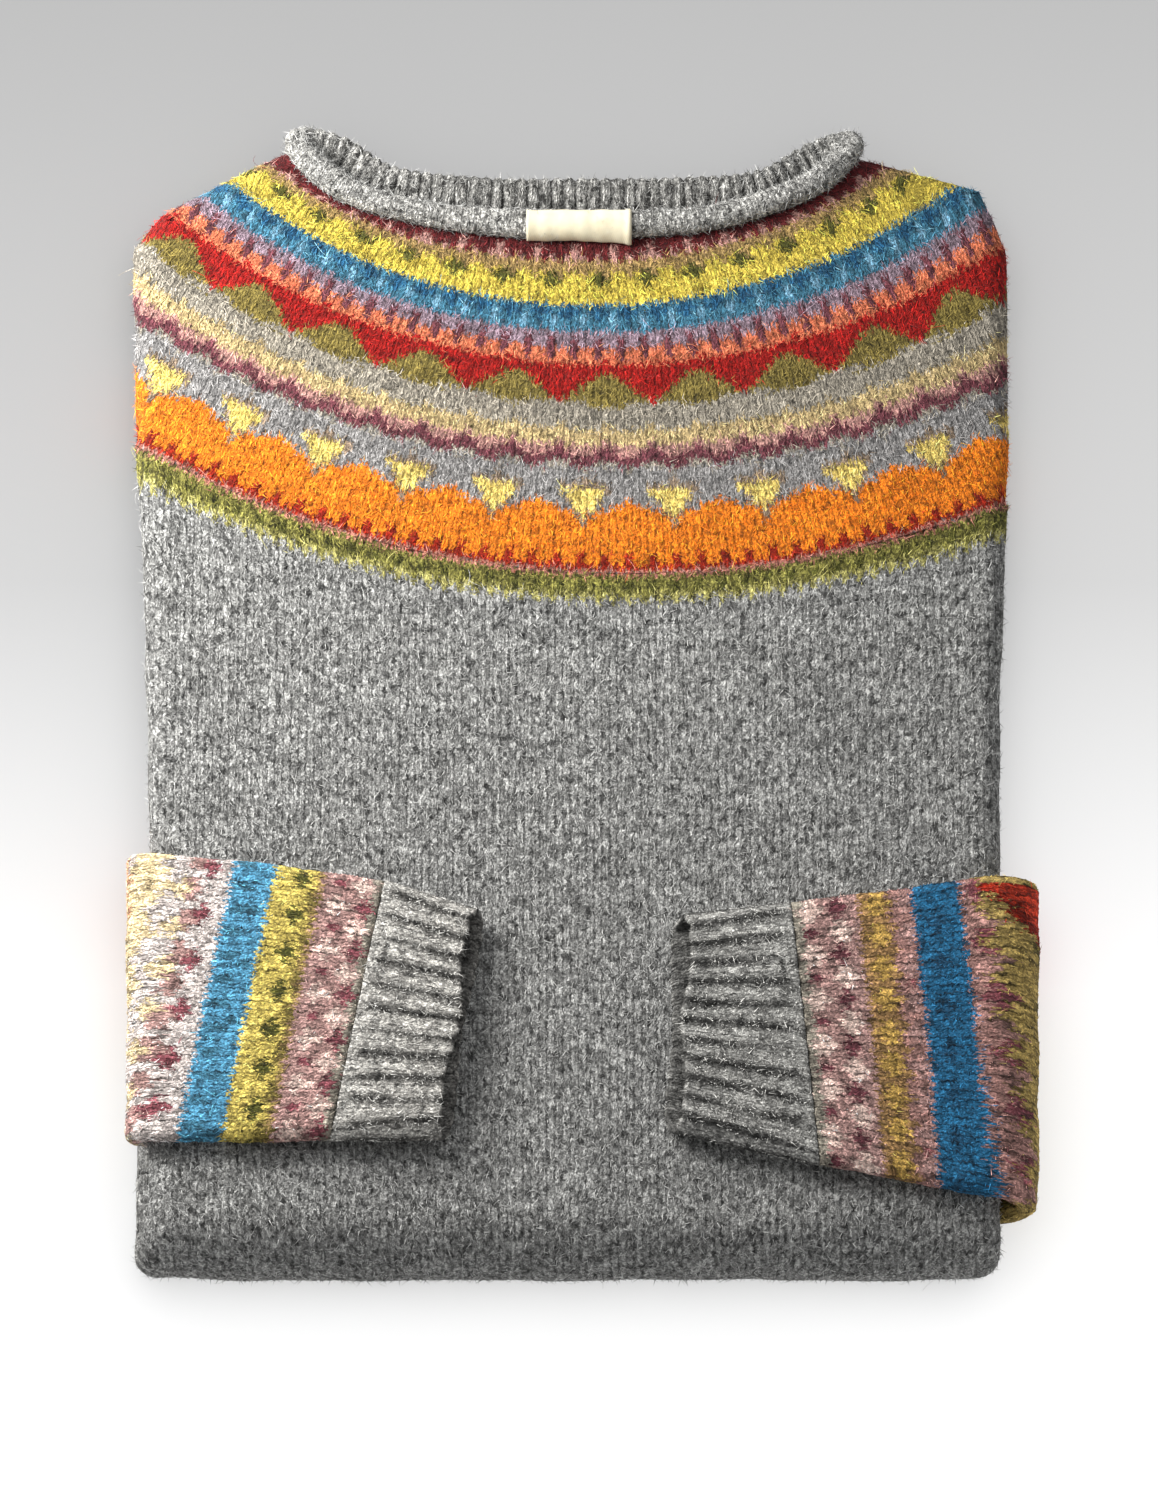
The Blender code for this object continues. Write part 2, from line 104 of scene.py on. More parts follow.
OUTLINE_STEP = 3.0

# Knitted courses, as the lower halves of ellipses
NECK_SEAM_Y = 208.8
YOKE_START = -8.0
YOKE_DEPTH = 159.0
COURSE_ROWS = np.array([
    # distance from the neck seam, middle x, half width, drop
    (-8.0, -2.0, 127.5, 53.0),
    (0.0, -2.0, 129.5, 47.0),
    (31.0, 6.7, 244.0, 244.0),
    (74.0, 16.0, 309.0, 309.0),
    (125.0, 22.0, 378.0, 378.0),
    (159.0, 22.0, 392.0, 392.0),
    (340.0, 22.0, 392.0, 0.01),
])
# Bands of the yoke in which the wales keep one direction, by the distance where each begins.
ZONES = (-20.0, 31.0, 58.0, 79.5, 110.0, 161.0)
GREEN_END = 174.0

# The neckband's loop: a smooth roll in front and a ribbed strip behind
NECKBAND_ROWS = (
    # x, y, z, width, height, lean in degrees, ribbing
    (0.0, 216.6, 32.5, 13.0, 11.0, 0, 0),
    (34.0, 217.0, 32.5, 12.4, 11.0, 0, 0),
    (64.0, 220.8, 32.5, 11.2, 11.0, 0, 0),
    (98.0, 233.6, 32.5, 11.4, 11.0, 0, 0),
    (112.5, 244.5, 32.5, 11.6, 11.0, 0, 0),
    (119.5, 255.5, 32.0, 11.8, 11.5, 0, 0.1),
    (104.0, 251.0, 26.5, 15.0, 6.5, 35, 0.9),
    (79.0, 236.6, 25.3, 16.5, 6.0, 33, 1),
    (40.0, 232.8, 24.8, 17.5, 6.0, 33, 1),
    (0.0, 232.5, 24.8, 17.5, 6.0, 33, 1),
    (-40.0, 232.8, 24.8, 17.5, 6.0, 33, 1),
    (-82.0, 238.6, 25.3, 16.5, 6.0, 33, 1),
    (-105.5, 253.5, 26.5, 15.0, 6.5, 35, 0.9),
    (-123.0, 257.0, 32.0, 11.8, 11.5, 0, 0.1),
    (-117.0, 245.5, 32.5, 11.6, 11.0, 0, 0),
    (-100.0, 232.2, 32.5, 11.4, 11.0, 0, 0),
    (-70.0, 222.0, 32.5, 11.2, 11.0, 0, 0),
    (-36.0, 217.2, 32.5, 12.4, 11.0, 0, 0),
)
NECKBAND_STEPS = 26
NECKBAND_SIDES = 32
NECK_RIB = 5.3

LABEL_HALF_WIDTH = 23.0
LABEL_WALL = 0.8
LABEL_REACH = (-6, 122)

# Sleeves as flattened tubes. Along runs outward over the face, round the side edge and back under it.
SLEEVE_ROWS = {
    "left": np.array([
        # along and y at the neck side, along and y at the hem side, thickness, looseness
        (82.4, -99.0, 104.4, -217.0, 11.5, 0.0),
        (130.0, -91.0, 140.0, -217.5, 10.5, 0.0),
        (172.0, -86.0, 172.0, -216.0, 9.0, 0.0),
        (187.0, -81.0, 187.0, -212.0, 8.0, 1.0),
        (202.0, -72.0, 202.0, -208.0, 7.2, 0.0),
        (218.0, -67.0, 218.0, -205.0, 7.0, 0.0),
    ]),
    "right": np.array([
        (89.8, -109.0, 101.0, -227.8, 11.5, 0.0),
        (135.0, -103.0, 146.0, -236.5, 11.0, 0.0),
        (168.5, -97.0, 168.5, -241.0, 10.0, 1.0),
        (183.5, -94.0, 183.5, -243.0, 9.0, 7.0),
        (198.5, -84.0, 198.5, -242.0, 7.2, 0.8),
        (214.0, -80.0, 214.0, -241.0, 6.8, 0.2),
    ]),
}
CUFF_ROWS = {
    "left": np.array([(42.4, -113.0, 58.0, -217.0, 14.0, 0.0), (82.0, -99.0, 104.0, -217.0, 11.5, 0.0)]),
    "right": np.array([(43.6, -115.6, 40.7, -214.4, 14.5, 0.0), (89.4, -109.0, 100.6, -227.8, 11.5, 0.0)]),
}
CUFF_LIP = {"left": 4.5, "right": 7.0}
LAYER_GAP = 0.6
TUBE_WALES = 72
RIB_WALES = 3

# Hidden layers under the front slab
BACK_RINGS = np.array([
    # share of the height, how far inside the outline, rise into the slab
    (0.0, 5.0, 0.0),
    (0.14, 1.4, 0.0),
    (0.30, 0.8, 0.0),
    (0.42, 2.2, 0.0),
    (0.50, 5.5, 0.0),
    (0.58, 2.2, 0.0),
    (0.72, 1.0, 0.0),
    (0.88, 2.2, 0.0),
    (1.0, 7.0, 0.6),
    (1.0, 9.0, 5.0),
])
BACK_INSET = 2.0
BACK_LOW_Y = -166.0
BACK_NECK_HALF = 126.0
BACK_NECK_ROWS = np.array([
    # x, y, height under the neckband
    (108.0, 243.0, 11.0),
    (84.0, 238.0, 18.5),
    (45.0, 235.0, 18.5),
    (0.0, 234.0, 18.5),
    (-45.0, 235.0, 18.5),
    (-84.0, 240.0, 18.5),
    (-110.0, 245.0, 11.0),
])
POCKET_Y = -20.0
POCKET_FLOOR = 11.8

# Dyed yarns, as the eye sees them in daylight
YARNS = {
    "heather": (146, 146, 144),
    "ash": (172, 171, 167),
    # The ash rib yarn painted lighter, a lit copy for the left cuff on the side the key light falls on.
    "lit_ash": (196, 193, 187),
    "maroon": (96, 32, 34),
    "mauve": (180, 136, 128),
    "tan": (158, 132, 84),
    "yellow": (206, 184, 78),
    "moss": (84, 84, 36),
    "blue": (66, 118, 142),
    "sky": (118, 164, 190),
    "azure": (90, 158, 194),
    "lake": (42, 110, 152),
    "navy": (34, 84, 118),
    "lavender": (146, 126, 138),
    "coral": (214, 118, 84),
    "plum": (112, 62, 70),
    "red": (156, 26, 22),
    "poppy": (210, 66, 42),
    "wine": (142, 80, 88),
    "olive": (126, 112, 58),
    "stone": (156, 149, 136),
    "cream": (194, 171, 124),
    "slate": (146, 144, 143),
    "taupe": (140, 122, 104),
    "straw": (228, 202, 112),
    "orange": (236, 130, 32),
    "brick": (148, 36, 18),
    "pink": (178, 118, 104),
    "green": (170, 164, 100),
    "fern": (126, 122, 62),
    "blush": (240, 210, 198),
    "rosewood": (142, 84, 88),
    "rose": (184, 146, 140),
    "mist": (220, 208, 203),
    "butter": (238, 214, 168),
    "peach": (236, 178, 140),
    "gold": (220, 198, 104),
    "ochre": (164, 128, 84),
    "amber": (204, 166, 88),
    "khaki": (186, 160, 94),
}
YARN_NAMES = list(YARNS)

# Charts. A band covers the courses from low to high, and its edges swing in step with the repeat.
YOKE_CHART = (
    # yarn, low, low swing, high, high swing, stitches in the repeat, shift
    ("maroon", -12.0, 0.0, 4.4, 0.0, 1, 0),
    ("mauve", 5.6, -4.4, 2.6, 1.4, 5, 1),
    ("mauve", 5.4, -2.2, 5.2, 0.0, 2, 0),
    ("yellow", 3.9, 1.0, 12.0, 0.0, 2, 0),
    ("tan", 4.0, 0.0, 6.2, 0.5, 3, 0),
    ("moss", 8.3, -2.0, 6.7, 2.0, 6, 4),
    ("blue", 11.8, 0.0, 16.9, 0.0, 1, 0),
    ("sky", 17.2, -3.6, 14.4, 1.2, 4, 0),
    ("navy", 14.6, -2.4, 13.0, 2.0, 4, 2),
    ("lavender", 16.8, 0.0, 19.8, 0.0, 1, 0),
    ("coral", 19.6, 0.6, 23.2, 0.0, 3, 0),
    ("plum", 21.0, -2.6, 19.0, 2.6, 3, 1),
    ("olive", 22.8, 0.0, 30.7, 0.0, 1, 0),
    ("red", 22.4, 1.0, 24.4, 6.0, 12, 3),
    ("red", 23.2, -0.6, 25.2, 0.0, 3, 0),
    ("stone", 30.8, -0.8, 46.0, 0.0, 12, 3),
    ("cream", 34.4, 0.9, 37.4, 1.4, 6, 0),
    ("mauve", 37.2, 1.2, 39.4, 1.6, 6, 0),
    ("plum", 38.4, 2.0, 40.6, 1.6, 6, 0),
    ("slate", 41.8, 1.0, 62.0, 0.0, 6, 0),
    ("orange", 48.0, 3.4, 61.0, 0.0, 12, 0),
    ("taupe", 46.4, -2.0, 40.8, 12.6, 12, 0),
    ("straw", 47.3, -1.6, 42.6, 8.8, 12, 0),
    ("brick", 60.4, -2.6, 61.4, 0.0, 3, 0),
    ("pink", 60.7, 0.0, 62.0, 0.0, 1, 0),
)
BODY_CHART = (
    ("pink", 56.0, 0.0, 62.0, 0.0, 1, 0),
    ("green", 61.7, 0.0, 66.4, 0.8, 2, 0),
    ("fern", 62.0, 0.0, 64.8, 1.2, 3, 1),
    ("moss", 65.8, -2.4, 63.2, 1.6, 3, 0),
)
SLEEVE_CHARTS = {
    "left": (
        ("rose", 1.2, 1.4, 10.6, 0.0, 3, 0),
        ("wine", 4.4, -3.0, 1.0, 3.4, 6, 3),
        ("wine", 8.8, -3.2, 5.2, 3.0, 6, 0),
        ("plum", 5.4, -2.2, 3.6, 0.8, 6, 3),
        ("blush", 5.2, -4.0, 1.8, 3.4, 6, 0),
        ("blush", 9.6, -4.2, 6.0, 3.4, 6, 3),
        ("tan", 10.2, 0.0, 11.0, 0.0, 1, 0),
        ("gold", 10.6, 0.0, 18.0, 0.0, 2, 0),
        ("moss", 14.0, -2.2, 12.4, 2.2, 5, 0),
        ("olive", 11.8, -1.6, 10.6, 1.6, 5, 2),
        ("azure", 17.8, 0.0, 25.6, 0.0, 2, 0),
        ("blue", 24.0, -3.0, 22.0, 2.4, 3, 1),
        ("blue", 22.0, -3.4, 18.6, 2.4, 7, 2),
        ("mist", 25.4, 0.0, 50.0, 0.0, 1, 0),
        ("wine", 29.6, -2.4, 28.2, 1.4, 6, 0),
        ("rose", 30.6, -1.4, 31.2, 0.8, 4, 1),
        ("butter", 34.0, 1.6, 39.5, 0.0, 6, 0),
        ("butter", 34.6, -3.6, 33.0, 0.6, 5, 2),
        ("peach", 38.4, 1.6, 43.0, 0.0, 12, 0),
        ("orange", 41.5, 0.0, 47.0, 0.0, 1, 0),
    ),
    "right": (
        ("rose", 1.2, 1.4, 11.4, 0.0, 3, 0),
        ("plum", 4.6, -3.0, 1.0, 3.2, 6, 3),
        ("plum", 9.2, -3.0, 5.6, 3.2, 6, 0),
        ("blush", 5.2, -4.2, 1.8, 3.4, 6, 0),
        ("blush", 9.8, -4.0, 6.4, 3.2, 6, 3),
        ("ochre", 11.2, 0.0, 16.6, 0.0, 2, 0),
        ("amber", 14.2, -2.6, 13.2, 3.0, 4, 0),
        ("mauve", 16.2, 0.4, 20.2, 0.0, 3, 0),
        ("rosewood", 19.6, -2.0, 17.0, 2.4, 5, 0),
        ("rose", 19.4, -2.0, 17.6, 2.4, 4, 0),
        ("lake", 20.0, 0.0, 28.0, 0.0, 2, 0),
        ("navy", 25.0, -3.0, 22.6, 2.4, 5, 2),
        ("mauve", 27.8, 0.0, 34.0, 0.0, 1, 0),
        ("wine", 32.0, -2.6, 29.8, 2.0, 6, 0),
        ("khaki", 30.4, 1.4, 39.8, 0.0, 4, 0),
        ("olive", 36.8, -2.4, 35.0, 2.0, 6, 0),
        ("coral", 39.2, 0.8, 47.0, 0.0, 5, 0),
        ("brick", 48.0, -17.0, 47.0, 0.0, 44, 0),
        ("poppy", 50.0, -18.0, 47.0, 0.0, 40, 0),
    ),
}

# How finely the cloth is cut up: steps across the face and round an edge, or rings of a tube
FACE_STEPS, EDGE_STEPS = 400, 18
HEM_FACE_STEPS, HEM_EDGE_STEPS = 360, 14
SLEEVE_RINGS, SLEEVE_STEPS = 92, (92, 14)
CUFF_RINGS, CUFF_STEPS = 38, (96, 16)
LABEL_COLUMNS, LABEL_ROWS = 44, 26
LIP_DEPTHS = (2.5, 1.1)

# Fibres of the nap
NEEDLE_SIDES = 3
FLOOR_CLEARANCE = 0.4
TONES = (0.45, 1.1, 2.1)
TONE_SHARES = (0.25, 0.45, 0.3)
NAP_LENGTHS = (1.8, 4.4)
NAP_RADII = (0.12, 0.24)
HAIR_LENGTHS = (3.0, 10.0)
HAIR_RADIUS = 0.12
HAIR_STEPS = 5

# The view and the floor
ELEVATION = math.radians(68)
CAMERA_DISTANCE = 4.0
CAMERA_TARGET = (0.0, -0.029, 0.020)
LENS = 222.1
SENSOR = 36.0


# ---------------------------------------------------------------- the slab


def eased(share):
    share = np.clip(share, 0.0, 1.0)
    return share * share * (3 - 2 * share)


def mix(first, second, share):
    return first + (second - first) * share


def top_height(y):
    return mix(2 * FOLD_RADIUS, TOP_AT_NECK, eased((y - TAPER_START_Y) / TAPER_RUN))


def place(spots):
    """Lays points of the flat slab on the stack, round the bottom fold where they lie past it."""
    x, y, depth = spots[..., 0], spots[..., 1], spots[..., 2]
    turn = np.clip((FOLD_Y - y) / FOLD_RADIUS, 0.0, math.pi)
    crown = CROWN * np.minimum(np.abs(x) / CROWN_HALF, 1.0) ** 4
    depth = depth + crown * (1 + np.cos(turn)) / 2
    reach = FOLD_RADIUS - depth
    back = np.maximum(FOLD_END - y, 0.0)
    bent_y = FOLD_Y - reach * np.sin(turn) + back
    bent_z = FOLD_RADIUS + reach * np.cos(turn)
    flat = turn == 0
    return np.stack([x, np.where(flat, y, bent_y), np.where(flat, top_height(y) - depth, bent_z)], -1)


def side_outline(side):
    """The outer edge from beside the neck to the hem: lengths along it, points and outward normals."""
    near_neck, corner = (Vector(point) for point in SHOULDERS[side])
    column = 1 if side == "left" else 2
    rows_y = np.arange(212.0, SIDE_ROWS[0, 0], -OUTLINE_STEP)
    down = np.stack([np.interp(rows_y, SIDE_ROWS[:, 0], SIDE_ROWS[:, column]), rows_y], -1)
    into = (near_neck - corner).normalized()
    out = (Vector(down[0]) - corner).normalized()
    half = into.angle(out) / 2
    centre = corner + (into + out).normalized() * (CORNER_RADIUS / math.sin(half))
    start = corner + into * (CORNER_RADIUS / math.tan(half)) - centre
    end = corner + out * (CORNER_RADIUS / math.tan(half)) - centre
    arc = [centre + start.slerp(end, step / 8) for step in range(9)]
    before = [near_neck.lerp(arc[0], step / 24) for step in range(24)]
    points = np.array([tuple(point) for point in before + arc] + [tuple(point) for point in down[1:]])
    lengths = np.concatenate([[0.0], np.cumsum(np.linalg.norm(np.diff(points, axis=0), axis=1))])
    run = np.gradient(points, axis=0)
    normals = np.stack([-run[:, 1], run[:, 0]], -1) * SIDES[side]
    return {"length": lengths, "point": points, "normal": normals}


def outline_at(outline, length):
    columns = np.column_stack([outline["point"], outline["normal"]])
    found = np.stack([np.interp(length, outline["length"], column) for column in columns.T], -1)
    normal = found[..., 2:]
    return found[..., :2], normal / np.linalg.norm(normal, axis=-1, keepdims=True)


OUTLINES = {side: side_outline(side) for side in SIDES}


def course_y(distance, x):
    middle, half_width, drop = (np.interp(distance, COURSE_ROWS[:, 0], COURSE_ROWS[:, i]) for i in (1, 2, 3))
    across = np.minimum(np.abs(x - middle) / half_width, 0.995)
    return NECK_SEAM_Y - distance + drop * (1 - np.sqrt(1 - across * across))


def course_end(outline, distance):
    """The length along the outline where its inner line meets a course."""
    low, high = 0.0, outline["length"][-1]
    for _ in range(30):
        middle = (low + high) / 2
        point, normal = outline_at(outline, middle)
        inner = point - normal * EDGE_REACH
        if inner[1] > course_y(distance, inner[0]):
            low = middle
        else:
            high = middle
    return low


def edge_course(side, distance, turns):
    """A course round the side fold: slab points, outward directions and the length gone round."""
    outline = OUTLINES[side]
    start = course_end(outline, distance)
    point, normal = outline_at(outline, start)
    inner = point - normal * EDGE_REACH
    slope_y = course_y(distance, inner[0] + SIDES[side]) - course_y(distance, inner[0])
    slope = np.array([SIDES[side], slope_y])
    along = np.array([normal[1], -normal[0]]) * SIDES[side]
    slide = slope @ along / (slope @ normal)
    half = SLAB / 2
    point, normal = outline_at(outline, start + slide * turns * half)
    spot = point + normal * (EDGE_REACH * (np.sin(turns) - 1))[:, None]
    points = np.column_stack([spot, half - half * np.cos(turns)])
    outward = np.column_stack([normal * np.sin(turns)[:, None], -np.cos(turns)])
    return points, outward, turns * (EDGE_REACH + half) / 2


class Panel:
    """A stretch of the front as a grid of courses, from the end of one side fold to that of the other."""

    def __init__(self, distances, face_steps, edge_steps):
        self.distances = distances
        turns = np.linspace(0.0, EDGE_TURN, edge_steps + 1)
        spots, outward, past = [], [], []
        for distance in self.distances:
            left, left_out, left_past = edge_course("left", distance, turns)
            right, right_out, right_past = edge_course("right", distance, turns)
            x = mix(left[0, 0], right[0, 0], np.linspace(0, 1, face_steps + 1)[1:-1])
            face = np.column_stack([x, course_y(distance, x), np.zeros_like(x)])
            up = np.tile([0.0, 0.0, -1.0], (len(x), 1))
            spots.append(np.concatenate([left[::-1], face, right]))
            outward.append(np.concatenate([left_out[::-1], up, right_out]))
            past.append(np.concatenate([-left_past[::-1], np.zeros(len(x)), right_past]))
        self.spots = np.array(spots)
        self.outward = np.array(outward)
        self.past = np.array(past)
        self.flat_x = self.spots[..., 0].copy()
        self.flat_x[:, :edge_steps] = self.flat_x[:, [edge_steps]]
        self.flat_x[:, -edge_steps:] = self.flat_x[:, [-edge_steps - 1]]
        self.flat_y = course_y(self.distances[:, None], self.flat_x)


# ---------------------------------------------------------------- knit coordinates


def zone_table(distance):
    """Wales counted along one course: x in steps and the stitches from the middle to it."""
    x = np.arange(-215.0, 216.0, 1.0)
    slope = np.gradient(course_y(distance, x), x)
    run = np.cumsum(np.sqrt(1 + slope * slope))
    return x, slope, (run - np.interp(0.0, x, run)) / STITCH


ZONE_MIDDLES = [(a + b) / 2 for a, b in zip(ZONES, ZONES[1:])]
ZONE_TABLES = [zone_table(middle) for middle in ZONE_MIDDLES]


def zone_of(distance):
    return int(np.searchsorted(ZONES, distance, side="right")) - 1


def knit_coordinates(panel, row, zone):
    """Wales and courses of one course of points, with the wales square to the courses in the yoke."""
    distance = panel.distances[row]
    x = panel.flat_x[row]
    if zone < len(ZONE_TABLES):
        table_x, slopes, wales = ZONE_TABLES[zone]
        slope = np.interp(x, table_x, slopes)
        inner_x = x - (distance - ZONE_MIDDLES[zone]) * slope / (1 + slope * slope)
        wale = np.interp(inner_x, table_x, wales)
        course = np.full_like(x, distance / COURSE)
    else:
        wale = x / STITCH
        below = course_y(GREEN_END, x) - panel.flat_y[row]
        course = (GREEN_END + below if distance > GREEN_END else np.full_like(x, distance)) / COURSE
    return np.stack([wale + panel.past[row] / STITCH, course], -1)


def panel_knit(panel):
    """For each row of faces, the knit coordinates of its upper and lower corners."""
    knit = []
    for row in range(len(panel.distances) - 1):
        zone = zone_of((panel.distances[row] + panel.distances[row + 1]) / 2)
        knit.append([knit_coordinates(panel, row + step, zone) for step in (0, 1)])
    return np.array(knit)


def stacked_knit(coordinates):
    """The same for a grid whose knit coordinates run on without a break."""
    return np.stack([coordinates[:-1], coordinates[1:]], 1)


# ---------------------------------------------------------------- relief


def wobble(x, y, length, seed):
    """Smooth unevenness between about -1 and 1."""
    dice = np.random.default_rng(seed)
    total = np.zeros(np.broadcast(x, y).shape)
    for _ in range(7):
        heading, phase = dice.uniform(0, 2 * math.pi, 2)
        wave = 2 * math.pi / (length * dice.uniform(0.6, 1.7))
        total += np.sin(wave * (x * math.cos(heading) + y * math.sin(heading)) + phase)
    return total / 4


def cell_random(wale, course, seed=0.0):
    """A random number from 0 to 1 for each stitch."""
    value = np.sin(np.floor(wale) * 12.9898 + np.floor(course) * 78.233 + seed) * 43758.5453
    return value - np.floor(value)


def wale_relief(wale, course):
    """Height of a column of stitches, from 0 in the groove beside it to 1 on its legs."""
    across = np.abs(2 * (wale % 1) - 1)
    along = (course + SLANT * across) % 1
    return (1 - across**2) * (0.72 + 0.28 * (1 - np.abs(2 * along - 1) ** 2))


def knit_relief(knit, depth):
    """Relief of stocking stitch, with some stitches fuller than others."""
    wale, course = knit[..., 0], knit[..., 1]
    loose = cell_random(wale, course) - 0.5
    return depth * (wale_relief(wale, course) - 0.5) + depth * 0.5 * loose


def row_knit(knit):
    """Knit coordinates of each row of points, from those of the faces below it."""
    return np.concatenate([knit[:, 0], knit[-1:, 1]])


# ---------------------------------------------------------------- meshes


def grid_mesh(name, points, knit, closed=False, caps=(), painted_shade=None):
    """A mesh of quads over a grid of points in millimetres, with knit coordinates at its corners.

    knit holds, for each row of faces, the coordinates of its upper and lower corners. A closed grid has one
    more column of coordinates than of points, and with as many rows of coordinates as of points the rows
    close too. The last argument gives each point its painted shade, darkest in the grooves of ribs, and is
    kept on the mesh as a point attribute. caps are further faces, as (point numbers, flat coordinates).
    """
    rows, columns = points.shape[:2]
    spans = columns if closed else columns - 1
    row, column = np.meshgrid(np.arange(len(knit)), np.arange(spans), indexing="ij")
    below, beside = (row + 1) % rows, (column + 1) % columns
    quads = np.stack([row * columns + column, below * columns + column,
                      below * columns + beside, row * columns + beside], -1).reshape(-1, 4)
    uv = np.stack([knit[row, 0, column], knit[row, 1, column],
                   knit[row, 1, column + 1], knit[row, 0, column + 1]], -2).reshape(-1, 2)
    sheet_row = np.stack([row, row + 1, row + 1, row], -1) / rows
    sheet_column = np.stack([column, column, column + 1, column + 1], -1) / (spans + 1)
    bake = np.stack([sheet_column, sheet_row], -1).reshape(-1, 2) * 0.98 + 0.01
    faces = quads.tolist()
    for numbers, flat in caps:
        faces.append(list(numbers))
        uv = np.concatenate([uv, flat])
        bake = np.concatenate([bake, np.zeros((len(numbers), 2)) + 0.001])
    mesh = bpy.data.meshes.new(name)
    mesh.from_pydata((points.reshape(-1, 3) * MM).tolist(), [], faces)
    for layer, values in (("Knit", uv), ("OFBake", bake)):
        made = mesh.uv_layers.new(name=layer)
        made.data.foreach_set("uv", values.astype(np.float32).ravel())
    # Painted shade, kept per point for the wool to darken its colour by.
    if painted_shade is not None:
        made = mesh.attributes.new("PaintedShade", "FLOAT", "POINT")
        made.data.foreach_set("value", np.clip(painted_shade, 0, 1).astype(np.float32).ravel())
    mesh.shade_smooth()
    mesh.update()
    return mesh


def add_piece(name, mesh, finish, slot, *nodes):
    """A visible piece riding on the only body, standing for some solids."""
    if finish is not None:
        mesh.materials.append(finish)
    piece = bpy.data.objects.new(name, mesh)
    bpy.context.scene.collection.objects.link(piece)
    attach(piece, ROOT)
    if nodes:
        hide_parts(*nodes)
    return piece


def with_lips(spots, outward, height, knit):
    """Turns the border of a panel inwards, so that its cut edge shows the cloth's thickness."""
    around = ((2, 2), (2, 2))
    drop = np.pad(np.zeros_like(height), around)
    for step, depth in enumerate(LIP_DEPTHS):
        for border in (drop[step], drop[-1 - step], drop[:, step], drop[:, -1 - step]):
            np.maximum(border, depth, out=border)
    spots = np.pad(spots, around + ((0, 0),), mode="edge")
    outward = np.pad(outward, around + ((0, 0),), mode="edge")
    height = np.pad(height, around, mode="edge") - drop
    knit = np.pad(knit, ((2, 2), (0, 0), (2, 2), (0, 0)), mode="edge")
    return spots + outward * height[..., None], knit


def on_floor(points, lowest=0.0):
    """Lifts the points that would sink into the floor."""
    points[..., 2] = np.maximum(points[..., 2], lowest)
    return points


def panel_surface(panel, depth, seed):
    """The outer surface of a stretch of the front, and its knit coordinates."""
    knit = panel_knit(panel)
    rows = row_knit(knit)
    x, y = panel.flat_x + panel.past, panel.flat_y
    height = knit_relief(rows, depth)
    height = height + 0.55 * wobble(x, y, 70.0, seed) + 0.3 * wobble(x, y, 22.0, seed + 1)
    ridge = np.exp(-(((panel.distances - YOKE_DEPTH - 0.6) / 1.3) ** 2))
    height = height + 0.7 * ridge[:, None]
    spots, lipped = with_lips(panel.spots, panel.outward, height, knit)
    return on_floor(place(spots)), lipped


# ---------------------------------------------------------------- shading


def linear(colour):
    """A colour of everyday numbers up to 255 as the shader's own."""
    share = np.array(colour) / 255
    return np.where(share <= 0.04045, share / 12.92, ((share + 0.055) / 1.055) ** 2.4)


def yarn(name, gain=1.0):
    return (*np.minimum(linear(YARNS[name]) * gain, 0.95), 1.0)


class Graph:
    """A node tree being laid out, with short calls for its nodes."""

    def __init__(self, tree):
        self.tree = tree

    def feed(self, made, inputs):
        """Links sockets into a node's inputs, and sets the others to plain values."""
        for name, value in inputs.items():
            if isinstance(value, bpy.types.NodeSocket):
                self.tree.links.new(value, made.inputs[name])
            else:
                made.inputs[name].default_value = value

    def node(self, kind, inputs=None, **settings):
        made = self.tree.nodes.new(kind)
        for name, value in settings.items():
            setattr(made, name, value)
        self.feed(made, inputs or {})
        return made

    def math(self, operation, first, second=0.0, third=0.0):
        inputs = {0: first, 1: second}
        if operation == "MULTIPLY_ADD":
            inputs[2] = third
        return self.node("ShaderNodeMath", inputs, operation=operation).outputs[0]

    def vectors(self, operation, first, second):
        """Two vectors put together, or one scaled by a number."""
        inputs = {0: first, "Scale" if operation == "SCALE" else 1: second}
        return self.node("ShaderNodeVectorMath", inputs, operation=operation).outputs[0]

    def blend(self, first, second, factor, blend_type="MIX"):
        inputs = {0: factor, 6: first, 7: second}
        return self.node("ShaderNodeMix", inputs, data_type="RGBA", blend_type=blend_type).outputs[2]

    def toned(self, colour, value):
        """A colour made lighter or darker by a number."""
        grey = self.node("ShaderNodeCombineColor", {0: value, 1: value, 2: value}).outputs[0]
        return self.blend(colour, grey, 1.0, "MULTIPLY")

    def noise(self, vector, scale, detail=2.0, roughness=0.5, output=0):
        inputs = {"Vector": vector, "Scale": scale, "Detail": detail, "Roughness": roughness}
        return self.node("ShaderNodeTexNoise", inputs).outputs[output]

    def stretched(self, vector, factors, detail, roughness):
        """Noise drawn out along the stitches or across them."""
        return self.noise(self.vectors("MULTIPLY", vector, factors), 1.0, detail, roughness)

    def between(self, value, low, high):
        """0 below low and 1 above high."""
        inputs = {"Value": value, "From Min": low, "From Max": high}
        return self.node("ShaderNodeMapRange", inputs, clamp=True).outputs[0]

    def drift(self, vector, scale, detail, amount):
        """A random shift of a point, sideways and along."""
        found = self.noise(vector, scale, detail, 0.6, output=1)
        return self.vectors("SCALE", self.vectors("SUBTRACT", found, (0.5, 0.5, 0.5)), amount)

    def border(self, value):
        """0 in the middle of a unit and 1 at its borders."""
        return self.math("ABSOLUTE", self.math("MULTIPLY_ADD", self.math("FRACT", value), 2.0, -1.0))

    def swing(self, value, contrast):
        """A noise value turned to swing about zero."""
        return self.math("MULTIPLY_ADD", value, contrast, -contrast / 2)


SOCKETS = {"float": "NodeSocketFloat", "colour": "NodeSocketColor", "vector": "NodeSocketVector"}


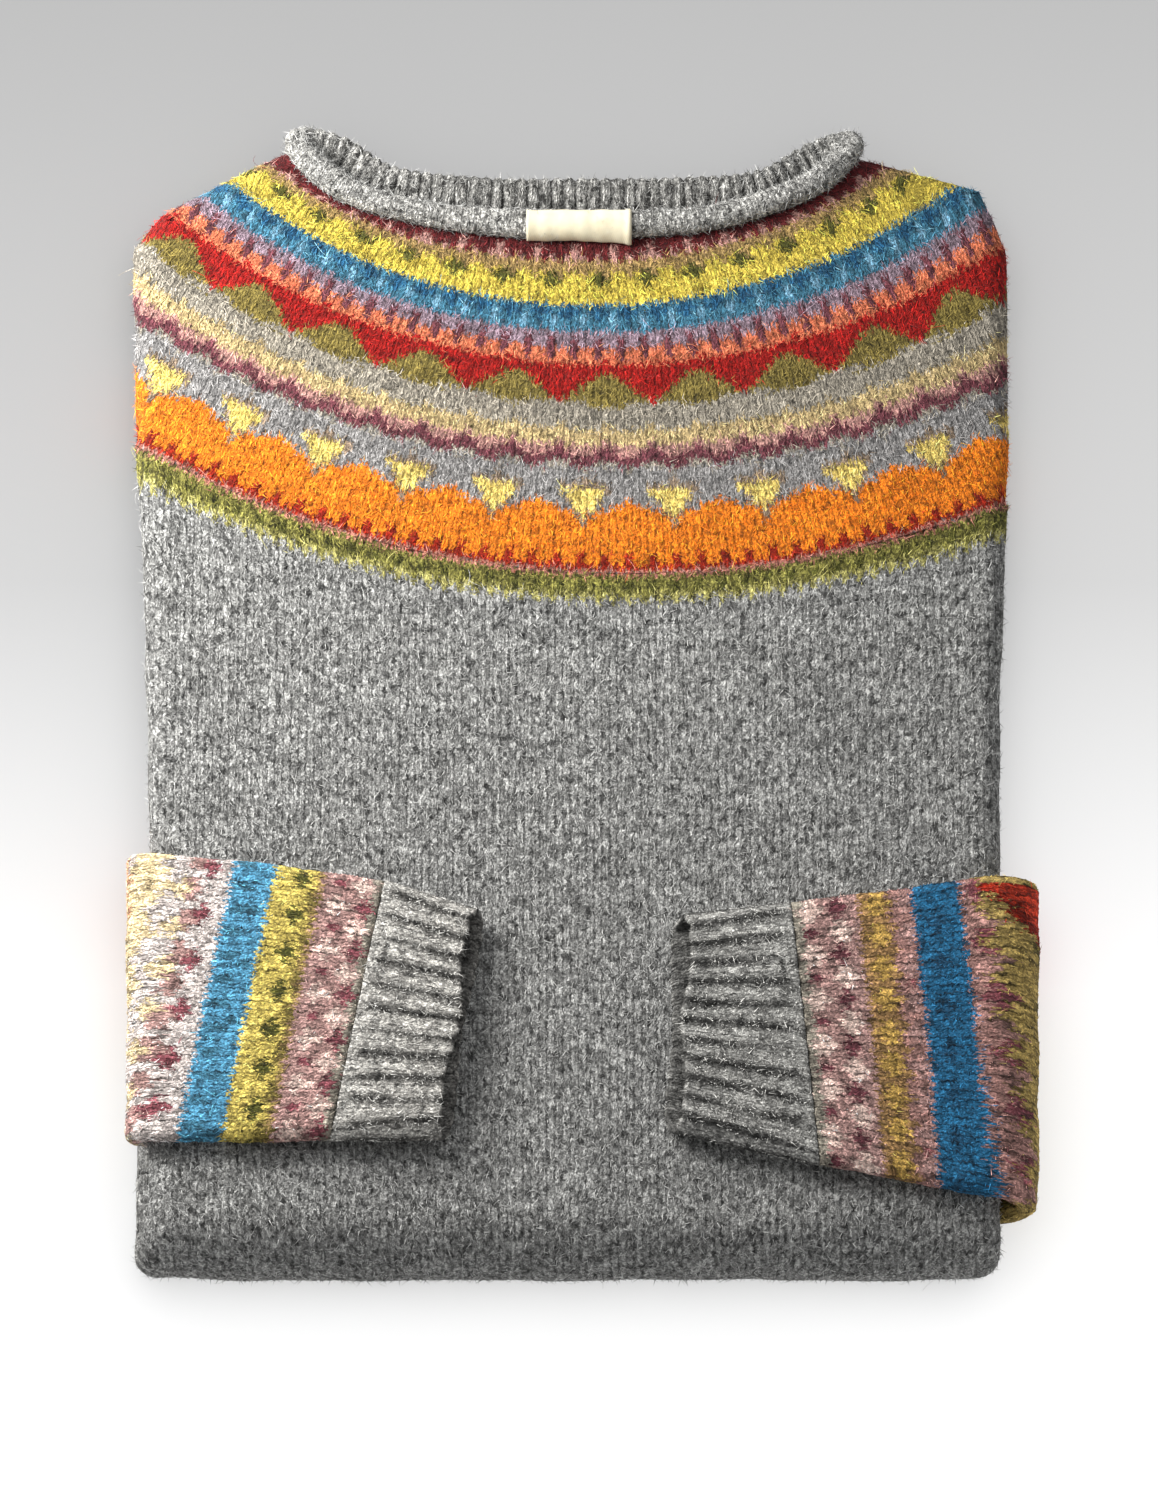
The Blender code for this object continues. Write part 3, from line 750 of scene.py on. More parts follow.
def new_group(name, inputs, outputs):
    """A node group with named sockets, as (group, graph, sockets coming in, node going out)."""
    group = bpy.data.node_groups.new(name, "ShaderNodeTree")
    for label, kind, value in inputs:
        socket = group.interface.new_socket(label, in_out="INPUT", socket_type=SOCKETS[kind])
        if value is not None:
            socket.default_value = value
    for label, kind in outputs:
        group.interface.new_socket(label, in_out="OUTPUT", socket_type=SOCKETS[kind])
    graph = Graph(group)
    return group, graph, graph.node("NodeGroupInput").outputs, graph.node("NodeGroupOutput")


def stitch_group():
    """Stocking stitch: the stitch a point is in, how high its leg stands there, and the groove round it."""
    outputs = (
        ("Wale", "float"), ("Course", "float"), ("Height", "float"),
        ("Groove", "float"), ("Knit", "vector"),
    )
    group, graph, given, result = new_group("Stocking stitch", (("Fuzz", "float", 1.0),), outputs)
    knit = graph.node("ShaderNodeUVMap", uv_map="Knit").outputs[0]
    waves = graph.drift(knit, 1.3, 2.0, graph.math("MULTIPLY", given["Fuzz"], 1.5))
    fine = graph.vectors("MULTIPLY", knit, (4.6, 1.2, 1.0))
    hairs = graph.drift(fine, 1.0, 3.0, graph.math("MULTIPLY", given["Fuzz"], 3.4))
    tufts = graph.vectors("MULTIPLY", hairs, (0.55, 1.6, 1.0))
    loose = graph.vectors("ADD", knit, waves)
    yarn_at = graph.node("ShaderNodeSeparateXYZ", {0: graph.vectors("ADD", loose, tufts)}).outputs
    sunk = graph.math("MULTIPLY_ADD", graph.border(yarn_at[0]), SLANT, yarn_at[1])

    shape = graph.vectors("ADD", loose, graph.vectors("SCALE", tufts, 0.22))
    split = graph.node("ShaderNodeSeparateXYZ", {0: shape}).outputs
    beside = graph.border(split[0])
    leg = graph.math("POWER", graph.border(graph.math("MULTIPLY", split[0], 2.0)), 2.0)
    end = graph.math("POWER", graph.border(graph.math("MULTIPLY_ADD", beside, SLANT, split[1])), 2.0)
    side = graph.math("SUBTRACT", 1.0, graph.math("MAXIMUM", leg, graph.math("MULTIPLY", end, 0.6)))
    wale_edge = graph.math("POWER", beside, 2.8)
    broken = graph.between(graph.stretched(knit, (1.2, 0.7, 1.0), 3.0, 0.6), 0.38, 0.62)
    edge = graph.math("MULTIPLY", wale_edge, graph.math("MULTIPLY_ADD", broken, 0.8, 0.2))
    graph.feed(result, {
        "Wale": graph.math("FLOOR", yarn_at[0]),
        "Course": graph.math("FLOOR", sunk),
        "Height": graph.math("SUBTRACT", side, graph.math("MULTIPLY", wale_edge, 0.5)),
        "Groove": graph.math("MAXIMUM", edge, graph.math("MULTIPLY", end, 0.3)),
        "Knit": shape,
    })
    return group


def band_group():
    """One band of a chart laid over the colour below it."""
    inputs = (
        ("Below", "colour", None), ("Yarn", "colour", None),
        ("Wale", "float", 0.0), ("Course", "float", 0.0),
        ("Low", "float", 0.0), ("Low swing", "float", 0.0),
        ("High", "float", 1.0), ("High swing", "float", 0.0),
        ("Repeat", "float", 1.0), ("Shift", "float", 0.0),
    )
    group, graph, given, result = new_group("Chart band", inputs, (("Colour", "colour"),))
    turn = graph.math("DIVIDE", graph.math("ADD", given["Wale"], given["Shift"]), given["Repeat"])
    share = graph.math("FRACT", graph.math("ADD", turn, 0.0001))
    swing = graph.math("ABSOLUTE", graph.math("MULTIPLY_ADD", share, 2.0, -1.0))
    middle = graph.math("ADD", given["Course"], 0.5)
    low = graph.math("MULTIPLY_ADD", swing, given["Low swing"], given["Low"])
    high = graph.math("MULTIPLY_ADD", swing, given["High swing"], given["High"])
    above, under = graph.math("GREATER_THAN", middle, low), graph.math("LESS_THAN", middle, high)
    inside = graph.math("MULTIPLY", above, under)
    graph.feed(result, {"Colour": graph.blend(given["Below"], given["Yarn"], inside)})
    return group


def wool_group():
    """Brushed heather wool: each stitch, fibre and fleck a little lighter or darker than the yarn."""
    inputs = (
        ("Colour", "colour", None), ("Wale", "float", 0.0), ("Course", "float", 0.0),
        ("Groove", "float", 0.0), ("Knit", "vector", None),
        ("Heather", "float", 0.5), ("Depth", "float", 0.4),
    )
    group, graph, given, result = new_group("Brushed wool", inputs, (("Colour", "colour"), ("Nap", "float")))
    cell = graph.node("ShaderNodeCombineXYZ", {0: given["Wale"], 1: given["Course"]}).outputs[0]
    stitch = graph.node("ShaderNodeTexWhiteNoise", {"Vector": cell}, noise_dimensions="2D").outputs[0]
    streaks = graph.stretched(given["Knit"], (1.9, 0.42, 1.0), 4.0, 0.66)
    flecks = graph.stretched(given["Knit"], (1.5, 0.9, 4.0), 3.0, 0.6)
    specks = graph.stretched(given["Knit"], (1.15, 0.62, 1.0), 2.0, 0.5)
    spot = graph.node("ShaderNodeTexCoord").outputs["Object"]
    fibres = graph.noise(spot, 850.0, 3.0, 0.75)
    blotches = graph.noise(spot, 95.0, 3.0, 0.6)
    total = graph.math("MULTIPLY_ADD", stitch, 0.6, -0.3)
    for unevenness, contrast in ((streaks, 8.5), (flecks, 6.5), (fibres, 8.0), (blotches, 3.2)):
        total = graph.math("ADD", total, graph.swing(unevenness, contrast))
    varied = graph.math("POWER", 2.0, graph.math("MULTIPLY", total, given["Heather"]))
    speck = graph.math("MULTIPLY", graph.between(specks, 0.53, 0.64), given["Heather"])
    varied = graph.math("MULTIPLY", varied, graph.math("MULTIPLY_ADD", speck, -1.0, 1.0))
    varied = graph.math("MINIMUM", graph.math("MAXIMUM", varied, 0.1), 2.8)
    # Painted shade: the colour is darkened in the grooves between wales, by the groove mask times this
    # input.
    groove_shade_factor = graph.math("SUBTRACT", 1.0, graph.math("MULTIPLY", given["Groove"], given["Depth"]))
    graph.feed(result, {
        "Colour": graph.toned(given["Colour"], graph.math("MULTIPLY", varied, groove_shade_factor)),
        "Nap": graph.math("MULTIPLY_ADD", streaks, 0.8, graph.math("MULTIPLY", fibres, 0.8)),
    })
    return group


GROUPS = {"stitch": stitch_group(), "band": band_group(), "wool": wool_group()}


def shader_of(name, roughness=0.95, sheen=0.04, gloss=0.08):
    made = bpy.data.materials.new(name)
    made.use_nodes = True
    graph, shader = Graph(made.node_tree), made.node_tree.nodes["Principled BSDF"]
    graph.feed(shader, {"Roughness": roughness, "Specular IOR Level": gloss})
    graph.feed(shader, {"Sheen Weight": sheen, "Sheen Roughness": 0.6})
    return made, graph, shader


def wool(name, ground, chart=(), heather=0.4, depth=0.55):
    """Knitted wool of one ground yarn, with the bands of a chart over it."""
    made, graph, shader = shader_of(name)
    stitch = graph.node("ShaderNodeGroup", {"Fuzz": 0.8}, node_tree=GROUPS["stitch"])
    wale, course, height, groove, knit = stitch.outputs
    colour = yarn(ground)
    for band, low, low_swing, high, high_swing, repeat, shift in chart:
        inputs = {
            "Below": colour, "Yarn": yarn(band), "Wale": wale, "Course": course, "Low": low,
            "Low swing": low_swing, "High": high, "High swing": high_swing, "Repeat": repeat, "Shift": shift,
        }
        colour = graph.node("ShaderNodeGroup", inputs, node_tree=GROUPS["band"]).outputs["Colour"]
    # depth sets how dark the painted shade in the grooves between wales is.
    inputs = {
        "Colour": colour, "Wale": wale, "Course": course, "Groove": groove, "Knit": knit,
        "Heather": heather, "Depth": depth,
    }
    finish = graph.node("ShaderNodeGroup", inputs, node_tree=GROUPS["wool"]).outputs
    # Painted shade from the point attribute: the colour is darkened in rib grooves and inside the cuffs.
    painted_shade = graph.node("ShaderNodeAttribute", attribute_name="PaintedShade").outputs["Fac"]
    relief = graph.math("MULTIPLY_ADD", finish["Nap"], 0.9, height)
    raised = graph.node("ShaderNodeBump", {"Height": relief, "Strength": 0.8, "Distance": 0.0016})
    graph.feed(shader, {
        "Base Color": graph.toned(finish["Colour"], graph.math("MULTIPLY_ADD", painted_shade, -0.85, 1.0)),
        "Normal": raised.outputs[0],
    })
    return made


def tape():
    """Smooth woven cotton tape, with a fine twill in it."""
    made, graph, shader = shader_of("cotton_tape", 0.75, 0.1)
    spot = graph.node("ShaderNodeTexCoord").outputs["Object"]
    turned = graph.node("ShaderNodeMapping", {"Vector": spot, "Rotation": (0, 0, math.radians(35))})
    inputs = {"Vector": turned.outputs[0], "Scale": 420.0, "Distortion": 1.2}
    twill = graph.node("ShaderNodeTexWave", inputs).outputs[1]
    worn = graph.math("MULTIPLY", graph.between(graph.noise(spot, 160.0, 3.0), 0.42, 0.7), 0.45)
    pale, dull = ((*linear(colour) * 0.7, 1.0) for colour in ((246, 238, 210), (214, 198, 164)))
    raised = graph.node("ShaderNodeBump", {"Height": twill, "Strength": 0.25, "Distance": 0.0002})
    graph.feed(shader, {
        "Base Color": graph.blend(pale, dull, graph.math("MULTIPLY_ADD", twill, 0.18, worn)),
        "Normal": raised.outputs[0],
    })
    return made


FIBRE_FINISHES = {}


def fibre_finish(number):
    """The plain colour of single fibres, numbered by yarn and then by tone."""
    if number not in FIBRE_FINISHES:
        name, tone = YARN_NAMES[number // len(TONES)], number % len(TONES)
        made, _, shader = shader_of(f"fibre_{name}_{tone}", 0.9, 0.1)
        shader.inputs["Base Color"].default_value = yarn(name, TONES[tone])
        FIBRE_FINISHES[number] = made
    return FIBRE_FINISHES[number]


def chart_yarns(chart, ground, wale, course):
    """The yarn, by its number, of each stitch of a chart."""
    found = np.full(wale.shape, YARN_NAMES.index(ground))
    border = np.abs(2 * (wale % 1) - 1)
    row = np.floor(course + SLANT * border) + 0.5
    for band, low, low_swing, high, high_swing, repeat, shift in chart:
        swing = np.abs(2 * (((np.floor(wale) + shift) / repeat + 0.0001) % 1) - 1)
        inside = (row > low + low_swing * swing) & (row < high + high_swing * swing)
        found[inside] = YARN_NAMES.index(band)
    return found


# ---------------------------------------------------------------- fibres


def surface_samples(points, knit, closed, count, dice):
    """Random spots of a grid: where, its two directions along the grid and its knit coordinates."""
    rows, columns = points.shape[:2]
    row = dice.integers(0, rows - 1, count)
    column = dice.integers(0, columns if closed else columns - 1, count)
    down, right = dice.uniform(0, 1, (2, count, 1))
    beside = (column + 1) % columns
    a, b = points[row, column], points[row, beside]
    c, d = points[row + 1, column], points[row + 1, beside]
    spot = mix(mix(a, b, right), mix(c, d, right), down)
    stitch = mix(knit[row, 0, column], knit[row, 1, column], down)
    return spot, b - a, c - a, stitch


def unit(vectors):
    return vectors / np.maximum(np.linalg.norm(vectors, axis=-1, keepdims=True), 1e-9)


def needles(name, spot, heading, length, radius, yarns, slot):
    """Short fibres as closed needles, each in its yarn's colour."""
    above = np.minimum(spot[:, 2], (spot + heading * length[:, None])[:, 2]) > FLOOR_CLEARANCE
    fibres = (spot, heading, length, radius, yarns)
    spot, heading, length, radius, yarns = (values[above] for values in fibres)
    count = len(spot)
    side = unit(np.cross(heading, np.array([0.31, 0.83, 0.47])))
    other = np.cross(heading, side)
    turns = np.arange(NEEDLE_SIDES) * 2 * math.pi / NEEDLE_SIDES
    ring = [spot + (side * math.cos(turn) + other * math.sin(turn)) * radius[:, None] for turn in turns]
    points = np.stack(ring + [spot + heading * length[:, None]], 1)
    start = (np.arange(count) * 4)[:, None]
    faces = np.concatenate([start + np.array(face) for face in ((0, 1, 3), (1, 2, 3), (2, 0, 3), (2, 1, 0))])
    mesh = bpy.data.meshes.new(name)
    mesh.from_pydata((points.reshape(-1, 3) * MM).tolist(), [], faces.tolist())
    used = sorted(set(yarns.tolist()))
    for number in used:
        mesh.materials.append(fibre_finish(number))
    slots = np.tile(np.searchsorted(used, yarns), 4)
    mesh.polygons.foreach_set("material_index", slots.astype(np.int32))
    mesh.update()
    return add_piece(name, mesh, None, slot)


def nap(name, surface, chart, ground, count, slot, seed, lift=0.3):
    """The brushed nap of a piece: fibres lying along the stitches and a little raised."""
    dice = np.random.default_rng(seed)
    spot, right, down, stitch = surface_samples(*surface, count, dice)
    out = unit(np.cross(down, right))
    flat_turn = dice.normal(0.0, 0.9, (count, 1))
    along = unit(down) * np.cos(flat_turn) + unit(right) * np.sin(flat_turn)
    along *= np.where(dice.uniform(0, 1, (count, 1)) < 0.5, -1, 1)
    heading = unit(along + out * np.abs(dice.normal(lift, lift, (count, 1))))
    stitch = stitch + dice.normal(0, 0.35, stitch.shape)
    yarns = chart_yarns(chart, ground, stitch[:, 0], stitch[:, 1]) * len(TONES)
    yarns = yarns + dice.choice(len(TONES), count, p=TONE_SHARES)
    spans = dice.uniform(*NAP_LENGTHS, count)
    radius = dice.uniform(*NAP_RADII, count)
    visible = spot[:, 2] > 0.5
    spot = spot - out * 0.15
    chosen = [values[visible] for values in (spot, heading, spans, radius, yarns)]
    return needles(name, *chosen, slot)


def strays(name, surface, chart, ground, count, slot, seed):
    """A few long hairs that stand off the nap, each a bent thread of short straight lengths."""
    dice = np.random.default_rng(seed)
    spot, right, down, stitch = surface_samples(*surface, count, dice)
    out = unit(np.cross(down, right))
    turn = dice.uniform(0, 2 * math.pi, (count, 1))
    along = unit(down) * np.cos(turn) + unit(right) * np.sin(turn)
    heading = unit(along + out * dice.uniform(0.3, 0.9, (count, 1)))
    yarns = chart_yarns(chart, ground, stitch[:, 0], stitch[:, 1]) * len(TONES) + 2
    lengths = dice.uniform(*HAIR_LENGTHS, count) / HAIR_STEPS
    bend = dice.normal(0, 0.45, (count, 3))
    keep = spot[:, 2] > 3.0
    parts = []
    for _ in range(HAIR_STEPS):
        parts.append((spot, heading, lengths * 1.25, np.full(count, HAIR_RADIUS), yarns))
        spot = spot + heading * lengths[:, None]
        heading = unit(heading + bend * 0.35 - out * 0.22)
    chosen = [np.concatenate([values[keep] for values in column]) for column in zip(*parts)]
    return needles(name, *chosen, slot)


# ---------------------------------------------------------------- tubes


def around_edge(side, along, y, height):
    """Points some height above the cloth, going over the face, round the side fold and under it."""
    column = 1 if side == "left" else 2
    inner = np.abs(np.interp(y, SIDE_ROWS[:, 0], SIDE_ROWS[:, column])) - EDGE_REACH
    half = SLAB / 2
    past = along - inner
    turn = np.clip(math.pi * past / EDGE_LENGTH, 0, math.pi)
    across = inner + (EDGE_REACH + height) * np.sin(turn)
    depth = half - (half + height) * np.cos(turn)
    across = np.where(past <= 0, along, across)
    across = np.where(past >= EDGE_LENGTH, inner - (past - EDGE_LENGTH), across)
    return place(np.stack([SIDES[side] * across, y, depth], -1))


def stadium(width, thickness, side_steps, end_steps):
    """A flattened ring as (across, up): two straight sides and two half-round ends."""
    radius = thickness / 2
    straight = width / 2 - radius
    side = mix(-straight, straight, np.arange(side_steps) / side_steps)
    turn = math.pi * np.arange(end_steps) / end_steps
    half = np.concatenate([
        np.column_stack([side, np.full(side_steps, radius)]),
        np.column_stack([straight + radius * np.sin(turn), radius * np.cos(turn)]),
    ])
    return np.concatenate([half, -half])


def ring_normals(rings):
    """Unit directions out of closed rings, which run clockwise as seen along their rows."""
    down = np.gradient(rings, axis=0)
    right = np.roll(rings, -1, axis=1) - np.roll(rings, 1, axis=1)
    return unit(np.cross(down, right))


def tube_rings(side, rows, lips, count, inset, side_steps, end_steps):
    """Rings of a flattened sleeve at even steps, with each ring's flat places for measuring along it."""
    steps = np.linspace(0, len(rows) - 1, count)
    stations = np.stack([np.interp(steps, np.arange(len(rows)), rows[:, i]) for i in range(6)], -1)
    lip_rows = np.interp(steps, np.arange(len(rows)), lips)
    rings, flats = [], []
    for station, lip in zip(stations, lip_rows):
        near_along, near_y, far_along, far_y, thickness, loose = station
        width = math.hypot(far_along - near_along, far_y - near_y)
        ring = stadium(width - 2 * inset, thickness - 2 * inset, side_steps, end_steps)
        share = 0.5 + ring[:, 0] / width
        up = ring[:, 1]
        along = mix(near_along, far_along, share) + lip * (up / thickness)
        y = mix(near_y, far_y, share)
        rings.append(around_edge(side, along, y, LAYER_GAP + loose + thickness / 2 + up))
        flats.append(np.stack([along, y], -1))
    return np.array(rings), np.array(flats)


def tube_knit(rings, flats, stitches):
    """Wales round the tube and courses along it, counted from its first ring."""
    around = np.linalg.norm(np.roll(rings, -1, axis=1) - rings, axis=2).mean(0)
    gone = np.concatenate([[0.0], np.cumsum(around)])
    wale = gone / gone[-1] * stitches
    steps = np.linalg.norm(np.diff(flats, axis=0), axis=2)
    course = np.concatenate([np.zeros((1, steps.shape[1])), np.cumsum(steps, axis=0)]) / COURSE
    course = np.concatenate([course, course[:, :1]], axis=1)
    return np.stack([np.broadcast_to(wale, course.shape), course], -1)


def raised(rings, height):
    return rings + ring_normals(rings) * height[..., None]


def sleeve_surface(side):
    """The outer surface of a sleeve, turned inwards at both ends by the cloth's thickness."""
    rows = SLEEVE_ROWS[side]
    level = np.zeros(len(rows))
    rings, flats = tube_rings(side, rows, level, SLEEVE_RINGS, 0.0, *SLEEVE_STEPS)
    knit = tube_knit(rings, flats, TUBE_WALES)
    flip = -1 if side == "left" else 1
    height = knit_relief(knit[:, :-1], 0.34)
    x, y = flats[..., 0] + 30.0 * (rings[..., 2] > 30), flats[..., 1]
    height = height + 0.5 * wobble(x, y, 55.0, 40) + 0.28 * wobble(x, y, 18.0, 41)
    rings = raised(rings, height * flip)
    inside, _ = tube_rings(side, rows, level, SLEEVE_RINGS, WALL * 0.6, *SLEEVE_STEPS)
    rings = np.concatenate([inside[:1], rings, inside[-1:]])
    knit = stacked_knit(np.concatenate([knit[:1], knit, knit[-1:]]))
    return rings[:, ::flip], knit[:, :, ::flip]


def cuff_surface(side):
    """A ribbed cuff from its seam to its mouth and back along its inside."""
    rows, lips = CUFF_ROWS[side][::-1], (0.0, CUFF_LIP[side])
    rings, flats = tube_rings(side, rows, lips, CUFF_RINGS, 0.0, *CUFF_STEPS)
    knit = tube_knit(rings, flats, TUBE_WALES)
    flip = 1 if side == "left" else -1
    wale, course = knit[:, :-1, 0], knit[:, :-1, 1]
    rib = rib_relief(wale / RIB_WALES)
    mouth = np.linspace(0, 1, len(rings))[:, None]
    x, y = flats[..., 0] + 40.0 * (rings[..., 2] > 30), flats[..., 1]
    height = (rib - 0.6) * mix(1.0, 1.7, mouth) + knit_relief(knit[:, :-1], 0.22)
    height = height + 0.5 * wobble(x, y, 45.0, 50)
    pull = (rib - 0.5) * 1.1 + wobble(wale * 4, 0.0 * y, 60.0, 51) * 1.6
    broken = np.clip(1.0 + 0.45 * wobble(wale * 1.6, course * 0.6, 8.0, 52), 0.3, 1.2)
    toward = unit(rings[-1] - rings[-2])
    inside, _ = tube_rings(side, rows, lips, CUFF_RINGS, WALL * 0.8, *CUFF_STEPS)
    shift = toward[None] * (pull * mouth**3)[..., None]
    rings = raised(rings, height * flip) + shift
    inside = raised(inside, height * flip * 0.8) + shift
    rings = np.concatenate([rings, inside[::-1]])
    knit = np.concatenate([knit, knit[::-1]])
    # Painted shade in the grooves between the ribs, broken up and fading towards the seam, and an even
    # painted shade over the cuff's inside.
    painted_shade = np.clip(1.8 * (1 - rib), 0, 1) * broken * eased(mouth / 0.25 + 0.15)
    painted_shade = np.concatenate([painted_shade, np.broadcast_to(0.75, painted_shade.shape)])
    knit = stacked_knit(np.concatenate([knit, knit[:1]]))
    return rings[:, ::flip], knit[:, :, ::flip], painted_shade[:, ::flip]


def rib_relief(share):
    """Rounded ribs, 1 on top and 0 in the groove between them."""
    return np.abs(np.sin(math.pi * share)) ** 0.7


# ---------------------------------------------------------------- neckband and label


def smooth_loop(rows, steps):
    """Stations between the rows of a closed table, on a smooth curve through every column."""
    rows = np.array(rows)
    t = (np.arange(steps) / steps)[None, :, None]
    a, b, c, d = (np.roll(rows, -shift, axis=0)[:, None, :] for shift in (-1, 0, 1, 2))
    slope = (c - a) * t
    bend = (2 * a - 5 * b + 4 * c - d) * t**2
    twist = (3 * b - a - 3 * c + d) * t**3
    return ((2 * b + slope + bend + twist) / 2).reshape(-1, rows.shape[1])


def band_section(stations, outward, angles, raised_by):
    """Points of the neckband's oval section, some distance above its surface."""
    tilt = np.radians(stations[:, 5])[:, None]
    flat = np.cos(angles) * (stations[:, 3:4] / 2 + raised_by)
    tall = np.sin(angles) * (stations[:, 4:5] / 2 + raised_by)
    out = flat * np.cos(tilt) - tall * np.sin(tilt)
    up = flat * np.sin(tilt) + tall * np.cos(tilt)
    x = stations[:, 0:1] + outward[:, 0:1] * out
    y = stations[:, 1:2] + outward[:, 1:2] * out
    return np.stack([x, y, stations[:, 2:3] + up], -1)


def neckband_surface():
    """The neckband: smooth jersey rolled over in front, ribs across it behind."""
    stations = smooth_loop(NECKBAND_ROWS, NECKBAND_STEPS)
    after, before = np.roll(stations, -1, axis=0), np.roll(stations, 1, axis=0)
    outward = unit(np.stack([after[:, 1] - before[:, 1], before[:, 0] - after[:, 0]], -1))
    angles = np.linspace(0, 2 * math.pi, NECKBAND_SIDES, endpoint=False)[None, :]
    gone = np.concatenate([[0.0], np.cumsum(np.linalg.norm(after[:, :3] - stations[:, :3], axis=1))])
    ribbing = np.clip(stations[:, 6:7], 0, 1)
    rib = rib_relief(gone[:-1, None] / NECK_RIB)
    around = np.linspace(0, 1, NECKBAND_SIDES + 1)[None, :] * BAND_ROUND / BAND_COURSE
    knit = np.stack(np.broadcast_arrays(gone[:, None] / BAND_STITCH, around), -1)
    twist = 0.35 * np.sin(gone[:-1, None] / 17.0 + 3 * np.cos(angles))
    smooth = knit_relief(knit[:-1, :-1], 0.32) + 0.5 * twist
    height = ribbing * (rib - 0.6) * 1.7 + (1 - ribbing) * smooth
    points = band_section(stations, outward, angles, height)
    # Painted shade in the grooves of the back ribbing, and a little more on the strip's inward-facing side.
    painted_shade = ribbing * np.clip(1.7 * (1 - rib), 0, 1) * 0.9
    inner = ribbing * np.clip(-np.cos(angles), 0, 1) * 0.12
    return points, stacked_knit(knit), np.broadcast_to(painted_shade + inner, points.shape[:2])


def label_mesh():
    """A bare tape over the front roll, its right end folded under and its lower corner lifted."""
    columns, rows = LABEL_COLUMNS, LABEL_ROWS
    across = np.linspace(-LABEL_HALF_WIDTH, LABEL_HALF_WIDTH, columns)
    station = np.tile(np.array(NECKBAND_ROWS[0]), (columns, 1))
    station[:, 0] = across
    outward = np.tile([0.0, -1.0], (columns, 1))
    angles = np.radians(np.linspace(*LABEL_REACH, rows))[None, :]
    share = (across / LABEL_HALF_WIDTH + 1)[:, None] / 2
    near_hem = np.clip(1 - np.linspace(0, 1, rows)[None, :] / 0.4, 0, 1)
    lift = 1.3 * eased((share - 0.45) / 0.55) * near_hem**1.5
    ripple = 0.14 * np.sin(across[:, None] / 3.1 + 2 * angles) + 0.1 * np.sin(across[:, None] / 1.3)
    fold = 0.9 * np.exp(-(((share - 0.975) / 0.03) ** 2))
    low = LAYER_GAP + lift + ripple * 0.5
    skin = low + LABEL_WALL + fold + ripple * 0.5
    outer = band_section(station, outward, angles, skin)
    inner = band_section(station, outward, angles, low)
    ring = np.concatenate([outer, inner[:, ::-1]], axis=1)
    count = ring.shape[1]
    knit = np.stack(np.meshgrid(np.arange(columns), np.arange(count + 1), indexing="ij"), -1) * 0.25
    last = (columns - 1) * count
    ends = (range(count), range(last, last + count)[::-1])
    caps = [(numbers, np.zeros((count, 2))) for numbers in ends]
    return grid_mesh("label", ring, stacked_knit(knit), closed=True, caps=caps)


# ---------------------------------------------------------------- hidden layers


def resampled(points, count):
    points = np.array(points)
    gone = np.concatenate([[0.0], np.cumsum(np.linalg.norm(np.diff(points[:, :2], axis=0), axis=1))])
    spots = np.linspace(0, gone[-1], count)
    return np.stack([np.interp(spots, gone, points[:, i]) for i in range(3)], -1)


def back_height(y, rise):
    """How high the back layers reach: up to the slab, or lower where the sleeves pass over them."""
    return np.where(y < POCKET_Y, POCKET_FLOOR, top_height(y) - SLAB - CROWN + rise)


def back_ring(inside, rise, sides, necks, lows):
    """The outline of the back layers a little inside the garment's own, with its height at each point."""
    edges = {}
    for side in SIDES:
        outline = OUTLINES[side]
        chosen = (outline["point"][:, 1] > BACK_LOW_Y) & (np.abs(outline["point"][:, 0]) > BACK_NECK_HALF)
        spot = outline["point"] - outline["normal"] * (inside + BACK_INSET)
        spot = spot[chosen][::-1]
        y = np.maximum(spot[:, 1], BACK_LOW_Y + inside)
        edges[side] = resampled(np.column_stack([spot[:, 0], y, back_height(y, rise)]), sides)
    low_x = np.linspace(-170, 170, lows)
    low = np.column_stack([low_x, np.full(lows, BACK_LOW_Y + inside), np.full(lows, POCKET_FLOOR)])
    neck = resampled(BACK_NECK_ROWS - [0, inside, 0], necks)
    return np.concatenate([low, edges["right"], neck, edges["left"][::-1]])


